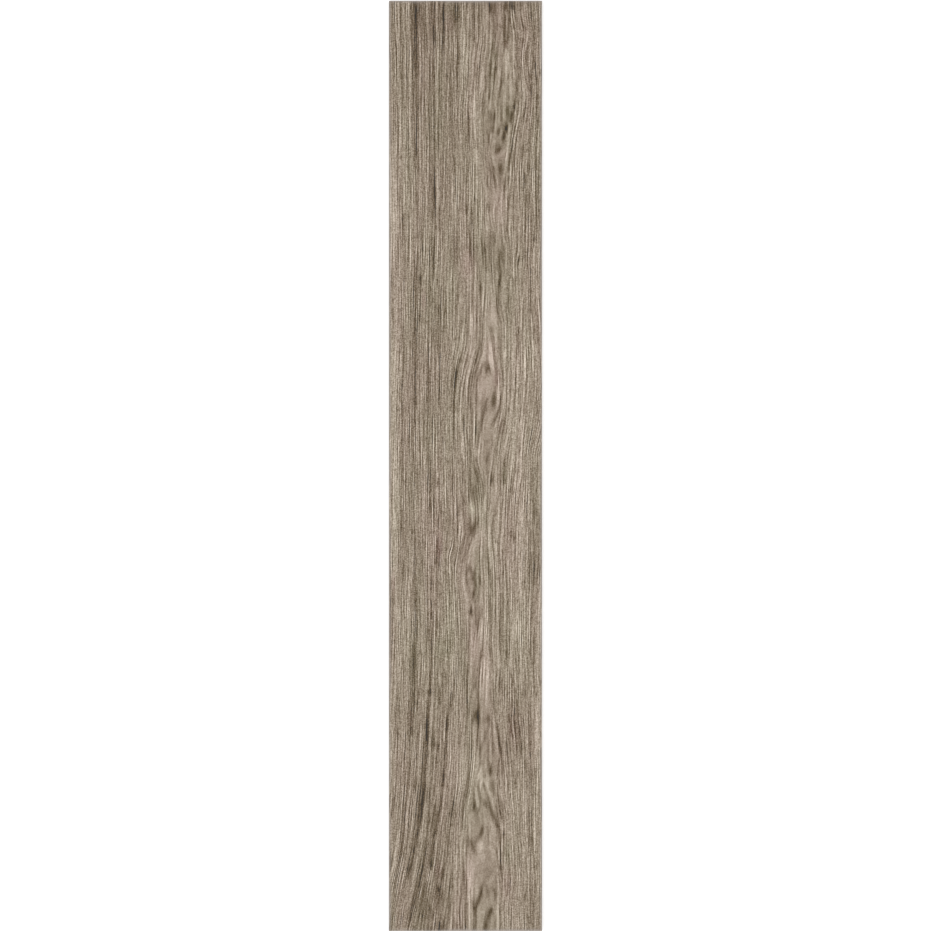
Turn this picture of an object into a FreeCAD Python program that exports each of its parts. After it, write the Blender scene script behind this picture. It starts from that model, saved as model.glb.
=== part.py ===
"""Wood look porcelain plank tile, one solid: pressed from clay, fired, then ground square on its four edges.

The plank lies face up. X runs across the grain, Y along it and Z up. The origin is under the middle of
the plank, level with the back ribs, which are what it beds on.
"""

import FreeCAD, Part
import math
import os

# Sizes of the ground plank, in millimetres
FACE_WIDTH = 197.0  # across the grain: the work size of a nominal 200
FACE_LENGTH = 1197.0  # along the grain: the work size of a nominal 1200
THICKNESS = 10.0  # from the back ribs to the face
ARRIS_BEVEL = 0.5  # each leg of the 45 degree bevel ground round the face

# Sizes of the keyed back, in millimetres and degrees
CELL_WIDTH = 16.0  # mouth of a cell, across the plank
CELL_LENGTH = 16.0  # mouth of a cell, along the plank
CELL_DEPTH = 0.7  # from the ribs to the floor of a cell
CELL_DRAFT = 35.0  # lean of a cell's four walls, which lets the press punch out of the clay
RIB_WIDTH = 4.0  # flat land between two cells
LEAST_BORDER = 8.0  # the plain margin round the cells is at least this wide

# Length that a cutter runs on below the ribs, so that it leaves no skin over a cell's mouth
CUTTER_OVERRUN = 1.0

ORIGIN = FreeCAD.Vector(0, 0, 0)
X_AXIS = FreeCAD.Vector(1, 0, 0)


def ground_blank():
    """The plank with a flat back: four square edges, and a bevel along each arris of the face."""
    corner = FreeCAD.Vector(-FACE_WIDTH / 2, -FACE_LENGTH / 2, 0)
    blank = Part.makeBox(FACE_WIDTH, FACE_LENGTH, THICKNESS, corner)
    face = max(blank.Faces, key=lambda side: side.CenterOfMass.z)
    return blank.makeChamfer(ARRIS_BEVEL, face.Edges)


def cell_cutter():
    """The tapered block that one cell of the back is pressed by, centred on the origin.

    Part.makeWedge tapers along Y, so the block is drawn that way and then tipped up onto Z.
    """
    lean = math.tan(math.radians(CELL_DRAFT))
    wide_x = CELL_WIDTH / 2 + CUTTER_OVERRUN * lean
    wide_z = CELL_LENGTH / 2 + CUTTER_OVERRUN * lean
    floor_x = CELL_WIDTH / 2 - CELL_DEPTH * lean
    floor_z = CELL_LENGTH / 2 - CELL_DEPTH * lean
    cutter = Part.makeWedge(
        -wide_x, -CUTTER_OVERRUN, -wide_z, -floor_z, -floor_x,
        wide_x, CELL_DEPTH, wide_z, floor_z, floor_x,
    )
    cutter.rotate(ORIGIN, X_AXIS, 90)
    return cutter


def cell_centres(span, cell):
    """Where the cells sit along one side: as many as fit between the borders, spread about the middle."""
    pitch = cell + RIB_WIDTH
    count = int((span - 2 * LEAST_BORDER + RIB_WIDTH) // pitch)
    return [(index - (count - 1) / 2) * pitch for index in range(count)]


def back_cells():
    """Every cell cutter of the back, in one compound."""
    cutter = cell_cutter()
    cutters = []
    for x in cell_centres(FACE_WIDTH, CELL_WIDTH):
        for y in cell_centres(FACE_LENGTH, CELL_LENGTH):
            cutters.append(cutter.translated(FreeCAD.Vector(x, y, 0)))
    return Part.makeCompound(cutters)


def plank_tile():
    """The whole tile: the ground blank with the cells of its keyed back cut in."""
    keyed = ground_blank().cut(back_cells())
    return keyed.Solids[0]


os.makedirs("parts", exist_ok=True)
plank_tile().exportStep("parts/plank_tile.step")
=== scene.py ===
"""Wood look porcelain plank tile, dressed: one fired plank with an oak grain printed and pressed into its face.

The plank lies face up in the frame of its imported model. X runs across the grain, Y along it and Z up.
The grain is drawn once, as a figure of lines and patches. The print and the relief are both made from it.
"""

import math

import bmesh
import bpy
import numpy as np
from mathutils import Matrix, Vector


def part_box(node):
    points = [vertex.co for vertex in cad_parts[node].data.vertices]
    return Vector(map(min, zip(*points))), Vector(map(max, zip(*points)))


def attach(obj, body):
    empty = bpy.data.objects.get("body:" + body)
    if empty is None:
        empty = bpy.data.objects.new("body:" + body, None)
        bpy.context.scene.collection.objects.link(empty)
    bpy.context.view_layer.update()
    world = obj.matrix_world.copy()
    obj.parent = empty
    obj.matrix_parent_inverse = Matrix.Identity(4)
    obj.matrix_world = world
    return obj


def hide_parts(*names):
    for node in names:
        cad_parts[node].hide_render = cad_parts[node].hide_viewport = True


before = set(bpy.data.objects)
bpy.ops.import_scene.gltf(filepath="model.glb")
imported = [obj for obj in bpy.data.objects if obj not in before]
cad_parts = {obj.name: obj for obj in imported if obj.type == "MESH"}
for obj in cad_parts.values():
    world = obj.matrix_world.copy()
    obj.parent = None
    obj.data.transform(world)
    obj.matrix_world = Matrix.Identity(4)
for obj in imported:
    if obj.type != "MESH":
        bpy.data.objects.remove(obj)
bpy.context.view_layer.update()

bl_info = {
    "name": "Wood look porcelain plank",
    "version": (1, 0, 0),
    "blender": (4, 5, 0),
    "location": "3D View > Sidebar > Plank",
    "description": "Makes a porcelain plank tile with a pressed and printed oak grain, and the stage it lies on",
    "category": "Mesh",
}

NODE = "plank_tile"
PIECE = "fired_porcelain_plank"
MM = 0.001

# The plank's own box, which gives its width, length and thickness
PLANK_LOW, PLANK_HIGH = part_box(NODE)
PLANK_SIZE = [high - low for low, high in zip(PLANK_LOW, PLANK_HIGH)]

# How the photograph frames the face, in its own pixels
PHOTO_SIDE = 931.0
FACE_WIDTH_IN_PHOTO = 153.1
FACE_MIDDLE_BELOW_CENTRE = 0.45

RELIEF_LEVELS = (30.0, -55.0)  # from the print's middle tone: where the pressing starts, and where it is deepest
WELD = 0.01 * MM
FACE_SLOPE = 0.85  # a face whose normal stands this upright is glazed, and the 45 degree bevel isn't
FACE = (PLANK_SIZE[0] / MM, PLANK_SIZE[1] / MM)  # the face's width and length in millimetres, as the figure is

# The figure of the oak, drawn in millimetres on the face. Each line has the number of
# levels of 255 by which it lightens or darkens the print, its half width, and its points (x, y).
GRAIN_LINES = (
    # Straight grain down the left-hand edge: pale lines
    (20, 1.4, (-87.8, 568), (-87, 550), (-86.5, 530), (-86, 505), (-86, 480), (-85.7, 462), (-84.8, 446)),
    (18, 1.3, (-84.8, 450), (-84.5, 425), (-84.5, 395), (-84.3, 362)),
    (14, 1.1, (-85, 302), (-84.5, 285), (-84.6, 262), (-84.8, 235), (-84.6, 200)),
    (24, 1.2, (-80, 605), (-80.3, 575), (-80.2, 555), (-79.5, 540), (-79.5, 520), (-79, 500), (-79, 470)),
    (24, 1.2, (-79, 475), (-78.6, 448), (-78.6, 425), (-79, 408), (-78.2, 392), (-78.5, 360), (-78.4, 325)),
    (26, 1.2, (-74.3, 605), (-73.6, 585), (-73, 570), (-72.4, 550), (-71.6, 528), (-71.5, 500),
     (-71.8, 478)),
    (26, 1.2, (-71.8, 485), (-71.3, 455), (-71, 430), (-70.6, 405), (-70.3, 380)),
    (24, 1.2, (-71, 366), (-70, 350), (-69.6, 330), (-69.6, 300), (-70, 280), (-71, 265), (-71.5, 250),
     (-71.8, 234)),
    (14, 1.3, (-72.8, 165), (-72.5, 145), (-72.6, 118)),
    (24, 1.2, (-60.4, 580), (-59.6, 560), (-59.4, 540), (-59, 520), (-59.4, 500), (-59.2, 485), (-60, 470)),
    (22, 1.2, (-60, 474), (-59.4, 450), (-59.4, 430), (-59.5, 405), (-58.8, 385), (-58.6, 360),
     (-57.6, 340), (-57.6, 320)),
    (26, 1.1, (-50.3, 594), (-50, 575), (-50, 558)),
    (14, 1.2, (-97, 430), (-96.5, 390), (-96.5, 350), (-97, 308)),
    (12, 1.4, (-92.7, 335), (-92.8, 300), (-92.7, 282)),
    (28, 1.1, (-82.3, 166), (-81.8, 150), (-82, 130), (-82.5, 118), (-82.8, 106)),
    (32, 1.1, (-84.1, 84), (-83.7, 65)),
    (24, 1.2, (-61.8, 120), (-61.6, 103), (-61, 90), (-61.5, 66)),
    (26, 1.2, (-62, 44), (-62, 25), (-61.6, 8)),
    (26, 1.1, (-52.8, 28), (-52.8, 0), (-53.2, -20)),
    (22, 1.2, (-54, -28), (-54, -50), (-54.8, -66)),
    (20, 1.4, (-50.2, 190), (-50.4, 168), (-50.3, 146)),
    (22, 1.9, (-92.6, 12), (-92.3, -10), (-91.8, -32)),
    (24, 1.4, (-92.4, -52), (-91.5, -68), (-92, -88)),
    (16, 1.2, (-64.6, -34), (-64.4, -60), (-65, -84)),
    (22, 1.3, (-70.4, -134), (-70.8, -141), (-72.6, -147), (-73.2, -158), (-74, -172), (-73.8, -186),
     (-73, -203), (-73.7, -218), (-74, -235), (-75, -250), (-75.4, -265), (-76, -285), (-76.2, -300),
     (-77.2, -314)),
    (34, 1.1, (-88, -178), (-87.5, -192), (-87.4, -206)),
    (14, 2.4, (-88.5, -215), (-88.6, -250), (-88.4, -292)),
    (16, 1.3, (-82.5, -238), (-83.5, -258), (-82.5, -275), (-83.4, -292), (-84.2, -304)),
    (10, 2.6, (-56, -160), (-55.5, -205), (-56, -250)),
    (24, 1.2, (-52.3, -252), (-52.8, -276)),
    (26, 1.2, (-54.1, -292), (-54, -314)),
    (22, 1.3, (-97, -328), (-96.8, -360), (-97.2, -388)),
    (24, 1.3, (-56.8, -336), (-57, -352), (-58.5, -368), (-59, -385), (-60, -400), (-61.2, -417)),
    (20, 1.4, (-68.8, -384), (-70.4, -400), (-71, -412), (-72.5, -425), (-74, -438), (-75, -450),
     (-76.5, -468)),
    (18, 1.3, (-63, -416), (-65, -432), (-67, -445), (-68, -460), (-69.5, -475), (-71, -492)),
    (34, 1.4, (-49.4, -421), (-52, -437), (-54, -448), (-55, -462), (-56.8, -475), (-58, -485), (-60, -497),
     (-62.5, -508), (-65, -517), (-67.5, -528), (-69.5, -537), (-72, -548), (-75, -557)),
    (28, 1.2, (-53.2, -520), (-56, -531), (-58.6, -540), (-61, -548), (-63.4, -557)),
    (24, 1.3, (-92.8, -447), (-94.5, -460), (-95.6, -472), (-97, -485)),
    (32, 1.4, (-85.4, -462), (-86.5, -478), (-88.5, -490), (-90, -500), (-91.5, -512), (-93.5, -520),
     (-95.4, -527)),
    (14, 1.6, (-79.8, -500), (-83, -515), (-85.5, -530), (-87.6, -547)),
    (12, 1.3, (-83, -400), (-83.5, -440), (-84.2, -458)),
    # Straight grain down the left-hand edge: dark lines, then the river that bends to the corner
    (-26, 1.3, (-90, 566), (-90, 548), (-89.5, 535), (-89, 520), (-88.8, 498)),
    (-26, 1.2, (-87.7, 492), (-87.8, 465), (-87.8, 445), (-87.2, 428), (-86.6, 405), (-86.5, 375),
     (-86.3, 328)),
    (-20, 1.2, (-86.8, 304), (-86.4, 280), (-86.4, 258)),
    (-34, 1.5, (-83.3, 605), (-83.2, 580), (-82.8, 565), (-82, 548), (-81.7, 525), (-81.6, 505),
     (-81.2, 485), (-81, 456)),
    (-18, 1.4, (-77, 605), (-77, 570), (-76, 540), (-76, 515), (-75.3, 490), (-75, 470), (-74.6, 448)),
    (-22, 1.3, (-74.4, 446), (-74.3, 415), (-74, 395), (-73.6, 372)),
    (-18, 1.2, (-70.6, 605), (-70.6, 565), (-70.2, 542)),
    (-40, 3.4, (-65.5, 612), (-65.5, 580), (-65.2, 550), (-65.5, 520)),
    (-36, 1.9, (-61.8, 605), (-62.4, 575), (-62.6, 555), (-62.2, 535), (-62.2, 510), (-62.4, 488)),
    (-20, 3.4, (-65, 540), (-65, 500), (-64.8, 460), (-64.4, 420), (-64, 382)),
    (-28, 1.4, (-61.9, 490), (-61.8, 460), (-62, 440), (-62.4, 420), (-62, 400), (-61.2, 380), (-61, 362)),
    (-20, 1.3, (-61.5, 366), (-61.4, 345), (-61, 320), (-60.8, 304)),
    (-34, 1.7, (-61.3, 304), (-61.4, 290)),
    (-26, 2.1, (-62.5, 282), (-62.4, 255), (-62, 235), (-62.4, 215), (-62.6, 195), (-63, 180), (-63.4, 165),
     (-63.4, 150), (-64.2, 135), (-64, 118), (-64, 100), (-63.5, 85), (-63.6, 66)),
    (-16, 3.2, (-66, 255), (-66.5, 180), (-66.8, 120), (-67, 60), (-66.5, 20), (-67, -20), (-67.5, -60),
     (-67, -95)),
    (-18, 1.1, (-58, 605), (-58, 542)),
    (-18, 1.1, (-58, 488), (-57.8, 448)),
    (-28, 1.6, (-53, 605), (-52.6, 570), (-52.6, 550), (-51.6, 530)),
    (-22, 1.1, (-80, 338), (-80, 305), (-79.6, 288)),
    (-22, 1.3, (-56.2, 304), (-55.6, 285), (-56, 262)),
    (-52, 1.3, (-58, 250), (-57.8, 240), (-58, 230)),
    (-24, 1.4, (-58, 230), (-57.4, 210), (-57.3, 192)),
    (-34, 1.6, (-58.8, 198), (-58.9, 184)),
    (-20, 1.3, (-57, 182), (-57, 148)),
    (-28, 1.4, (-79.8, 182), (-79.6, 160), (-80, 140), (-80.6, 122), (-81.2, 110)),
    (-26, 1.1, (-83.7, 168), (-83.7, 142)),
    (-34, 1.2, (-81.9, 108), (-82, 96)),
    (-42, 1.3, (-82.5, 88), (-82, 72), (-82.6, 58)),
    (-20, 2, (-81.6, 56), (-81.6, 30), (-81.5, 0), (-81, -20)),
    (-22, 1.2, (-60.6, 47), (-60.2, 32), (-60.6, 16)),
    (-20, 1.1, (-72.6, 58), (-72.4, 28)),
    (-26, 1.4, (-80.8, -12), (-80.8, -34)),
    (-28, 1.4, (-82.8, -68), (-82.5, -88)),
    (-18, 2, (-82.4, -34), (-82, -60), (-81, -95), (-80, -118)),
    (-36, 1.2, (-79.7, -118), (-80, -135), (-80, -152)),
    (-20, 1.3, (-62, 0), (-61.8, -34)),
    (-28, 2.2, (-65.6, -86), (-65, -120), (-64.6, -145), (-64.6, -170), (-64, -195), (-64.2, -215),
     (-64.6, -232)),
    (-28, 1.2, (-59, -126), (-58.8, -150)),
    (-26, 1.3, (-60.5, -160), (-60, -180), (-58.6, -195), (-58.6, -218)),
    (-38, 3.6, (-66.4, -220), (-67, -245), (-68, -270), (-68.5, -295), (-69.5, -324)),
    (-26, 1.2, (-64.6, -232), (-65, -260), (-65.6, -285), (-66, -304)),
    (-32, 1.2, (-61, -278), (-61.3, -300), (-61.8, -320)),
    (-20, 1.5, (-94.8, -136), (-94.4, -160), (-95.6, -178), (-95.6, -198), (-96.4, -220), (-96.6, -246)),
    (-24, 1.2, (-92, -234), (-91.6, -252)),
    (-28, 1.5, (-85.4, -278), (-86.6, -298), (-87.4, -312), (-88, -330), (-88.6, -358)),
    (-18, 1.5, (-79, -250), (-78.8, -284)),
    (-22, 1.2, (-76, -156), (-76, -178)),
    (-14, 3.5, (-70, -322), (-70, -345), (-70, -364)),
    (-30, 1.4, (-71.3, -378), (-71.6, -395), (-73, -414)),
    (-26, 1.2, (-65.8, -402), (-65.8, -422)),
    (-40, 2.1, (-49.4, -316), (-50.4, -345), (-52.2, -368), (-53.6, -390), (-55.2, -410)),
    (-50, 3.2, (-55, -400), (-57, -420), (-59, -438), (-60.5, -455), (-62, -468)),
    (-34, 1.8, (-52.4, -410), (-54, -428), (-56, -442), (-57.5, -460)),
    (-28, 3.2, (-61, -460), (-64, -480), (-66, -495), (-69, -512), (-72, -525), (-74.4, -540)),
    (-22, 2.6, (-77.6, -416), (-79.6, -440), (-80.6, -460), (-81.5, -478)),
    (-40, 1.6, (-81, -470), (-82, -485), (-83, -497), (-84.6, -508), (-86.5, -519)),
    (-28, 1.8, (-86, -515), (-88.5, -530), (-90.5, -540), (-92.2, -554)),
    (-24, 1.3, (-90.8, -406), (-92, -422), (-93.5, -440), (-95.2, -454)),
    (-22, 1.4, (-92, -556), (-94.5, -575), (-96, -592)),
    (-22, 1.8, (-82, -572), (-84, -592)),
    (-46, 1.7, (-49.6, -484), (-51.6, -494), (-53.4, -506), (-55.4, -518), (-57.6, -528), (-60, -538),
     (-62.4, -549), (-65, -559), (-68, -569), (-70.6, -579), (-73, -590), (-75.4, -602)),
    # Left of the upper cathedral, top: lines that come straight down beside it
    (26, 1.1, (-49.2, 540), (-49, 490)),
    (22, 1.2, (-49, 480), (-48.5, 440), (-48, 410), (-48.5, 330)),
    (-25, 1.8, (-41, 605), (-41.5, 575), (-41, 560)),
    (-48, 2, (-41, 572), (-40.6, 555), (-40.4, 538)),
    (-25, 1.6, (-40, 530), (-40, 480), (-40, 420), (-40, 360), (-40.5, 320)),
    (-20, 1.8, (-45.5, 540), (-45.5, 470), (-46, 420), (-46, 350)),
    (20, 1.3, (-37.5, 605), (-37, 580), (-36.5, 545)),
    (36, 1.2, (-36.5, 548), (-36.3, 500), (-36.5, 450), (-36.7, 418)),
    (22, 1.3, (-36, 408), (-36.5, 370), (-36, 330)),
    (-18, 1.3, (-33.5, 540), (-33.5, 500), (-34.5, 440), (-34.5, 415)),
    (-45, 1.9, (-27.5, 605), (-28, 580), (-27.5, 565), (-28.6, 545), (-29, 528)),
    (18, 1.3, (-25, 600), (-25, 560), (-24, 535), (-23.5, 515)),
    (-24, 2, (-18.8, 530), (-18.5, 480), (-18, 440), (-17.5, 410), (-17, 370)),
    (-26, 1.7, (-10.3, 555), (-10, 520), (-10.5, 475)),
    (26, 1.3, (-4, 565), (-4, 540), (-3.5, 505)),
    (20, 1, (-1.5, 575), (-1.5, 530)),
    (15, 1.6, (-20, 440), (-20, 390)),
    (24, 1.3, (-13.2, 345), (-14, 310)),
    (-22, 2.2, (-46, 370), (-46.3, 320)),
    (-34, 1.6, (-40.4, 375), (-40.7, 340), (-41, 310)),
    (-22, 1.6, (-33.4, 340), (-33, 300)),
    # The upper cathedral: outline of the top eye, the flame inside it and the pair of lines left of it
    (-26, 1.6, (2.4, 602), (2.2, 587)),
    (-50, 1.8, (11.8, 604), (11.8, 588)),
    (-34, 2, (10.6, 590), (11.4, 572), (12, 556)),
    (-26, 1.8, (12, 556), (11.2, 541)),
    (-36, 1.2, (17.2, 600), (17.2, 585), (17, 570), (17.2, 551)),
    (-36, 1.3, (16.4, 548), (15, 539), (13.4, 528), (12.4, 517), (11.4, 506), (10.8, 497)),
    (-34, 1.1, (10.8, 497), (9.8, 483), (9.4, 471)),
    (-40, 1.5, (16.2, 519), (15.2, 508), (14.4, 496)),
    (-36, 1.2, (9.6, 441), (10.2, 430), (11, 420), (12.2, 409)),
    (-28, 1.1, (11.8, 391), (11.6, 372), (11.4, 352)),
    (-46, 1.3, (11.4, 353), (11.3, 340)),
    (-20, 1.1, (11.4, 337), (12, 298)),
    (-26, 1.2, (15.8, 351), (16, 330), (16, 298)),
    (-34, 1.3, (2.8, 389), (2.6, 372), (2.6, 357)),
    (-46, 1.4, (2.6, 339), (2.4, 321)),
    (-26, 1.3, (2.4, 323), (2.2, 298)),
    (-40, 1.7, (6.4, 341), (7.2, 325), (7.6, 300)),
    (-28, 1.5, (3.4, 453), (4, 435), (4, 414)),
    (-28, 1.3, (6.4, 564), (6, 549)),
    (-26, 1.1, (26.2, 503), (26.2, 490), (25, 477)),
    (-24, 1.3, (24.2, 476), (24, 460), (24.8, 447)),
    (-24, 1.6, (30.4, 575), (30, 554)),
    (-60, 2.2, (30.6, 606), (31.6, 590), (33, 577)),
    (-52, 1.7, (38.2, 604), (37.6, 590), (37.2, 576)),
    (-34, 1.3, (37.2, 577), (37, 560), (36.8, 548)),
    (-36, 1.3, (36.8, 548), (35.6, 539), (33.6, 529)),
    (-40, 1.6, (33.6, 529), (33, 517), (32, 505), (32, 494)),
    (-40, 1.3, (31.8, 492), (30.4, 478), (29.6, 465)),
    (-26, 1.6, (37.4, 515), (36.8, 497)),
    (-38, 1.4, (50, 502), (47.6, 494), (45.4, 486), (43, 477)),
    (-28, 1.6, (43, 477), (41.8, 465), (41.4, 450), (41, 439)),
    (-28, 1.4, (41, 427), (42.8, 431.5), (44.8, 438)),
    (-34, 1.5, (29.4, 458), (30.8, 451)),
    (-26, 1.4, (34.6, 441), (34.4, 427)),
    (-34, 1.1, (37.4, 459), (37.4, 443)),
    (-30, 1.6, (25.6, 441), (28, 429), (30.4, 418), (32.6, 405)),
    (-46, 1.3, (35.8, 404.6), (40, 405), (44, 407), (48, 409.8)),
    (-44, 2, (46.4, 417), (49, 425)),
    (-34, 1.6, (31.4, 391), (34.4, 380), (36.4, 371), (38.6, 358)),
    (-26, 1.5, (28, 375), (27.4, 357)),
    (-26, 1.2, (15.4, 419), (15.6, 403)),
    (34, 1.2, (15.6, 604), (15.2, 585), (15, 565), (14.8, 549)),
    (30, 1.4, (14.8, 550), (13, 540), (11.4, 528), (10.2, 516), (9.2, 503), (8.4, 490)),
    (22, 1.3, (8.4, 492), (7.8, 470), (7.8, 452), (8.6, 432), (9.6, 412), (9.8, 390), (9.6, 360),
     (9.6, 333)),
    (44, 1.2, (11.8, 496), (11.5, 483), (11.3, 468), (11.6, 454), (12.2, 438), (12.8, 427), (13.6, 415)),
    (40, 1.3, (13.6, 417), (14.1, 404), (14.2, 388), (13.9, 371)),
    (50, 1.3, (13.9, 373), (13.6, 357), (13.3, 341)),
    (34, 1.2, (13.3, 343), (13.5, 325), (13.8, 296)),
    (24, 1.1, (17.4, 546), (15.4, 533), (13.8, 520), (12.6, 505), (12.4, 494)),
    (28, 1.2, (2.6, 585), (2.8, 569)),
    (20, 1.2, (2.6, 549), (2.4, 535), (1.6, 518), (0.4, 494)),
    (28, 1.2, (3, 489), (2.2, 478), (1, 469)),
    (28, 1.3, (28.6, 602), (28.6, 585), (28.2, 564)),
    (18, 1.4, (24.6, 602), (24.6, 575), (24.2, 551)),
    (30, 1.4, (32, 563), (32.6, 548), (31.6, 537)),
    (24, 1.3, (21, 521), (20.6, 505), (20, 490), (19.2, 473)),
    (28, 1.3, (24.6, 501), (24, 490), (23.2, 479)),
    (24, 1.2, (29.4, 491), (28.2, 476), (28, 464)),
    (18, 1.3, (36, 531), (35, 517), (34, 499)),
    (18, 2, (32.6, 471), (31.4, 457)),
    (26, 1.3, (40.4, 481), (39.4, 462), (39, 448), (38.4, 439)),
    (14, 1.6, (17, 466), (17.4, 440), (17.4, 420), (17.2, 394)),
    (26, 1.3, (5.4, 349), (4.8, 335)),
    (40, 1.5, (4.8, 337), (4.4, 324), (3.8, 306)),
    (24, 1.4, (19.4, 351), (19.8, 330), (19.4, 312), (18.6, 298)),
    (30, 1.8, (27.2, 311), (29.8, 303)),
    (16, 1.6, (23.4, 369), (23.6, 344)),
    # Right-hand flank, top: the chevrons beside the eye, then lines that fan down and out
    (-56, 2.4, (50.4, 605), (51.6, 592), (52.4, 583)),
    (-44, 1.7, (57, 602), (57, 587)),
    (-34, 1.6, (57, 588), (56.2, 570), (55.6, 556), (54.2, 545), (51.6, 538.6)),
    (-44, 1.5, (50.8, 584), (50, 568), (49.4, 552), (48.6, 537)),
    (-40, 1.5, (60.6, 604), (60.4, 584)),
    (-32, 1.3, (60.6, 578), (62.6, 568), (64.6, 563), (65.8, 554), (66.6, 545), (66, 533)),
    (-28, 2, (65.8, 534), (65.8, 520), (66, 507)),
    (-40, 1.5, (66.4, 509), (66.4, 495), (65.8, 484), (64.8, 474)),
    (-44, 1.7, (64.8, 475), (63, 464), (60.6, 456)),
    (-60, 2, (60.8, 457), (58.4, 447), (55.6, 441)),
    (-60, 2.4, (54.4, 439), (52, 434), (51, 431)),
    (-40, 2.2, (51, 432), (49, 424), (47, 419)),
    (-38, 1.3, (63.2, 602), (64, 586), (65.6, 575), (67.6, 567), (69.8, 559.5)),
    (-32, 1.3, (69.8, 560), (70.8, 552), (70, 544), (68.4, 536), (67.8, 529)),
    (-36, 1.3, (70.6, 604), (70.6, 590), (71.4, 580)),
    (-50, 1.4, (71.4, 581), (73, 571), (75, 562), (76.2, 556)),
    (-44, 1.4, (75.8, 554), (74, 546), (72.4, 539)),
    (-28, 1.3, (72.4, 540), (71.4, 530), (71.2, 518), (72, 506), (73, 495)),
    (-40, 1.6, (81, 604), (82, 587)),
    (-22, 2, (83, 589), (84, 569)),
    (-20, 1.6, (82.6, 559), (81, 544), (79, 534), (78.4, 519)),
    (-40, 1.9, (83, 509), (83.8, 496)),
    (-46, 1.6, (83.6, 497), (84.4, 484), (84.4, 473)),
    (-24, 1.6, (84, 472), (83.6, 449)),
    (-40, 1.4, (82.8, 446), (82.4, 432), (81.6, 418), (81.2, 401)),
    (-30, 1.5, (81.2, 402), (82, 384), (82.4, 366)),
    (-18, 1.8, (82.4, 367), (82.4, 345), (83.4, 325), (85, 303)),
    (-44, 1.5, (88.6, 529), (88.8, 516), (89.8, 509)),
    (-32, 1.3, (89.8, 510), (91.4, 500), (92.6, 486)),
    (-38, 1.3, (92.6, 487), (92.8, 470), (93, 456)),
    (-52, 1.6, (93.2, 456), (93.6, 445), (93, 433)),
    (-32, 1.5, (93, 435), (92, 424), (91, 413)),
    (-36, 1.6, (90.6, 409), (90.4, 395), (90.6, 379)),
    (-30, 1.6, (90.4, 379), (90.4, 360), (90.4, 345), (91.4, 325), (92, 298)),
    (-22, 1.4, (88.6, 561), (88.6, 537)),
    (-44, 1.1, (96.2, 512), (96.2, 502)),
    (-38, 1.3, (77.6, 469), (76.4, 459), (74.6, 450), (72.4, 442)),
    (-44, 1.3, (72.4, 442.5), (70, 435), (67.6, 428), (65.4, 419), (63.4, 409)),
    (-34, 1.3, (63.4, 410), (62, 398), (61, 386), (60.2, 373)),
    (-26, 1.5, (60.2, 374), (58.4, 358), (56.6, 344)),
    (-38, 1.6, (56.6, 345), (55.2, 332), (54.4, 321)),
    (-24, 1.5, (54.4, 322), (53, 308), (52.4, 296)),
    (-26, 1.2, (68, 441), (65.2, 431), (62.6, 423)),
    (-46, 1.3, (62.8, 424), (60.4, 413), (58.4, 403), (56.6, 393), (54.4, 381)),
    (-36, 1.3, (75.4, 414), (73.6, 403), (72, 392)),
    (-52, 1.5, (76, 379), (76.6, 367), (76.6, 359)),
    (-48, 1.4, (77.6, 351), (77.8, 333)),
    (-22, 1.2, (77.8, 333), (77.6, 300)),
    (-32, 1.2, (73.6, 353), (73.2, 335), (73, 318), (73.4, 296)),
    (-26, 1.6, (50.6, 509), (49.4, 497), (48.6, 487)),
    (24, 1.2, (61.8, 584), (64, 573), (66.4, 564), (68.6, 555), (68.6, 546), (67.2, 537)),
    (22, 1.3, (68, 586), (69.6, 573), (72, 562), (72.6, 554), (71, 545), (69.6, 536), (69.2, 519)),
    (22, 1.6, (80.6, 563), (80, 552), (77.6, 543), (75, 535)),
    (20, 1.5, (75, 536), (73.8, 524), (74, 507)),
    (22, 1.5, (75.4, 506), (75.8, 490), (76, 473)),
    (20, 1.3, (74, 471), (72, 458), (69.6, 447), (67, 437)),
    (42, 1.2, (69.6, 439), (67.4, 431), (65.2, 423), (63.4, 415), (62.4, 408)),
    (22, 1.6, (59.4, 393), (58.6, 378), (57, 364), (54.6, 351)),
    (18, 1.3, (76.4, 453), (72.6, 440), (69.6, 430), (66.6, 418), (64.6, 404)),
    (18, 1.3, (81.8, 453), (80.4, 432), (80, 412), (79.8, 394)),
    (36, 1.4, (72.2, 351), (71.9, 336), (71.2, 321), (70.2, 310), (69.2, 296)),
    (20, 2.2, (87.6, 379), (87.8, 350), (88.4, 324)),
    (24, 1.4, (56.6, 336), (56, 318), (56.4, 296)),
    (18, 1.1, (75, 351), (75, 322), (74.8, 298)),
    (12, 1.6, (86.6, 441), (86, 410), (86, 379)),
    (16, 1.4, (95.2, 451), (94, 430), (92.8, 404)),
    # Left of the middle eye: straight lines, then the arcs that turn round its shoulder
    (-26, 1.4, (-45.2, 300), (-45.4, 272), (-46.4, 250), (-47.4, 225), (-48.2, 200), (-48, 180),
     (-48.6, 155), (-48.7, 135), (-48.4, 105), (-48.6, 60), (-48.3, 0)),
    (-44, 1.5, (-40.2, 302), (-40.6, 275), (-41, 252), (-41.8, 236)),
    (-30, 1.4, (-42.2, 228), (-42.4, 205), (-42.2, 185), (-42.4, 170), (-42.8, 150)),
    (-36, 1.3, (-34.3, 234), (-34.6, 215), (-34.6, 190), (-34.5, 160), (-34.3, 140), (-34.3, 115),
     (-34.6, 95), (-34, 75)),
    (-30, 1.1, (-30.8, 227), (-30.8, 205), (-31, 185), (-30.8, 165), (-31, 156)),
    (-18, 1, (-15.4, 240), (-15.6, 215), (-15.4, 195)),
    (-22, 1, (-14, 286), (-14.2, 262), (-13.8, 245)),
    (-30, 1.4, (-8.6, 247), (-9.4, 232), (-9.8, 215), (-10.4, 205)),
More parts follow.
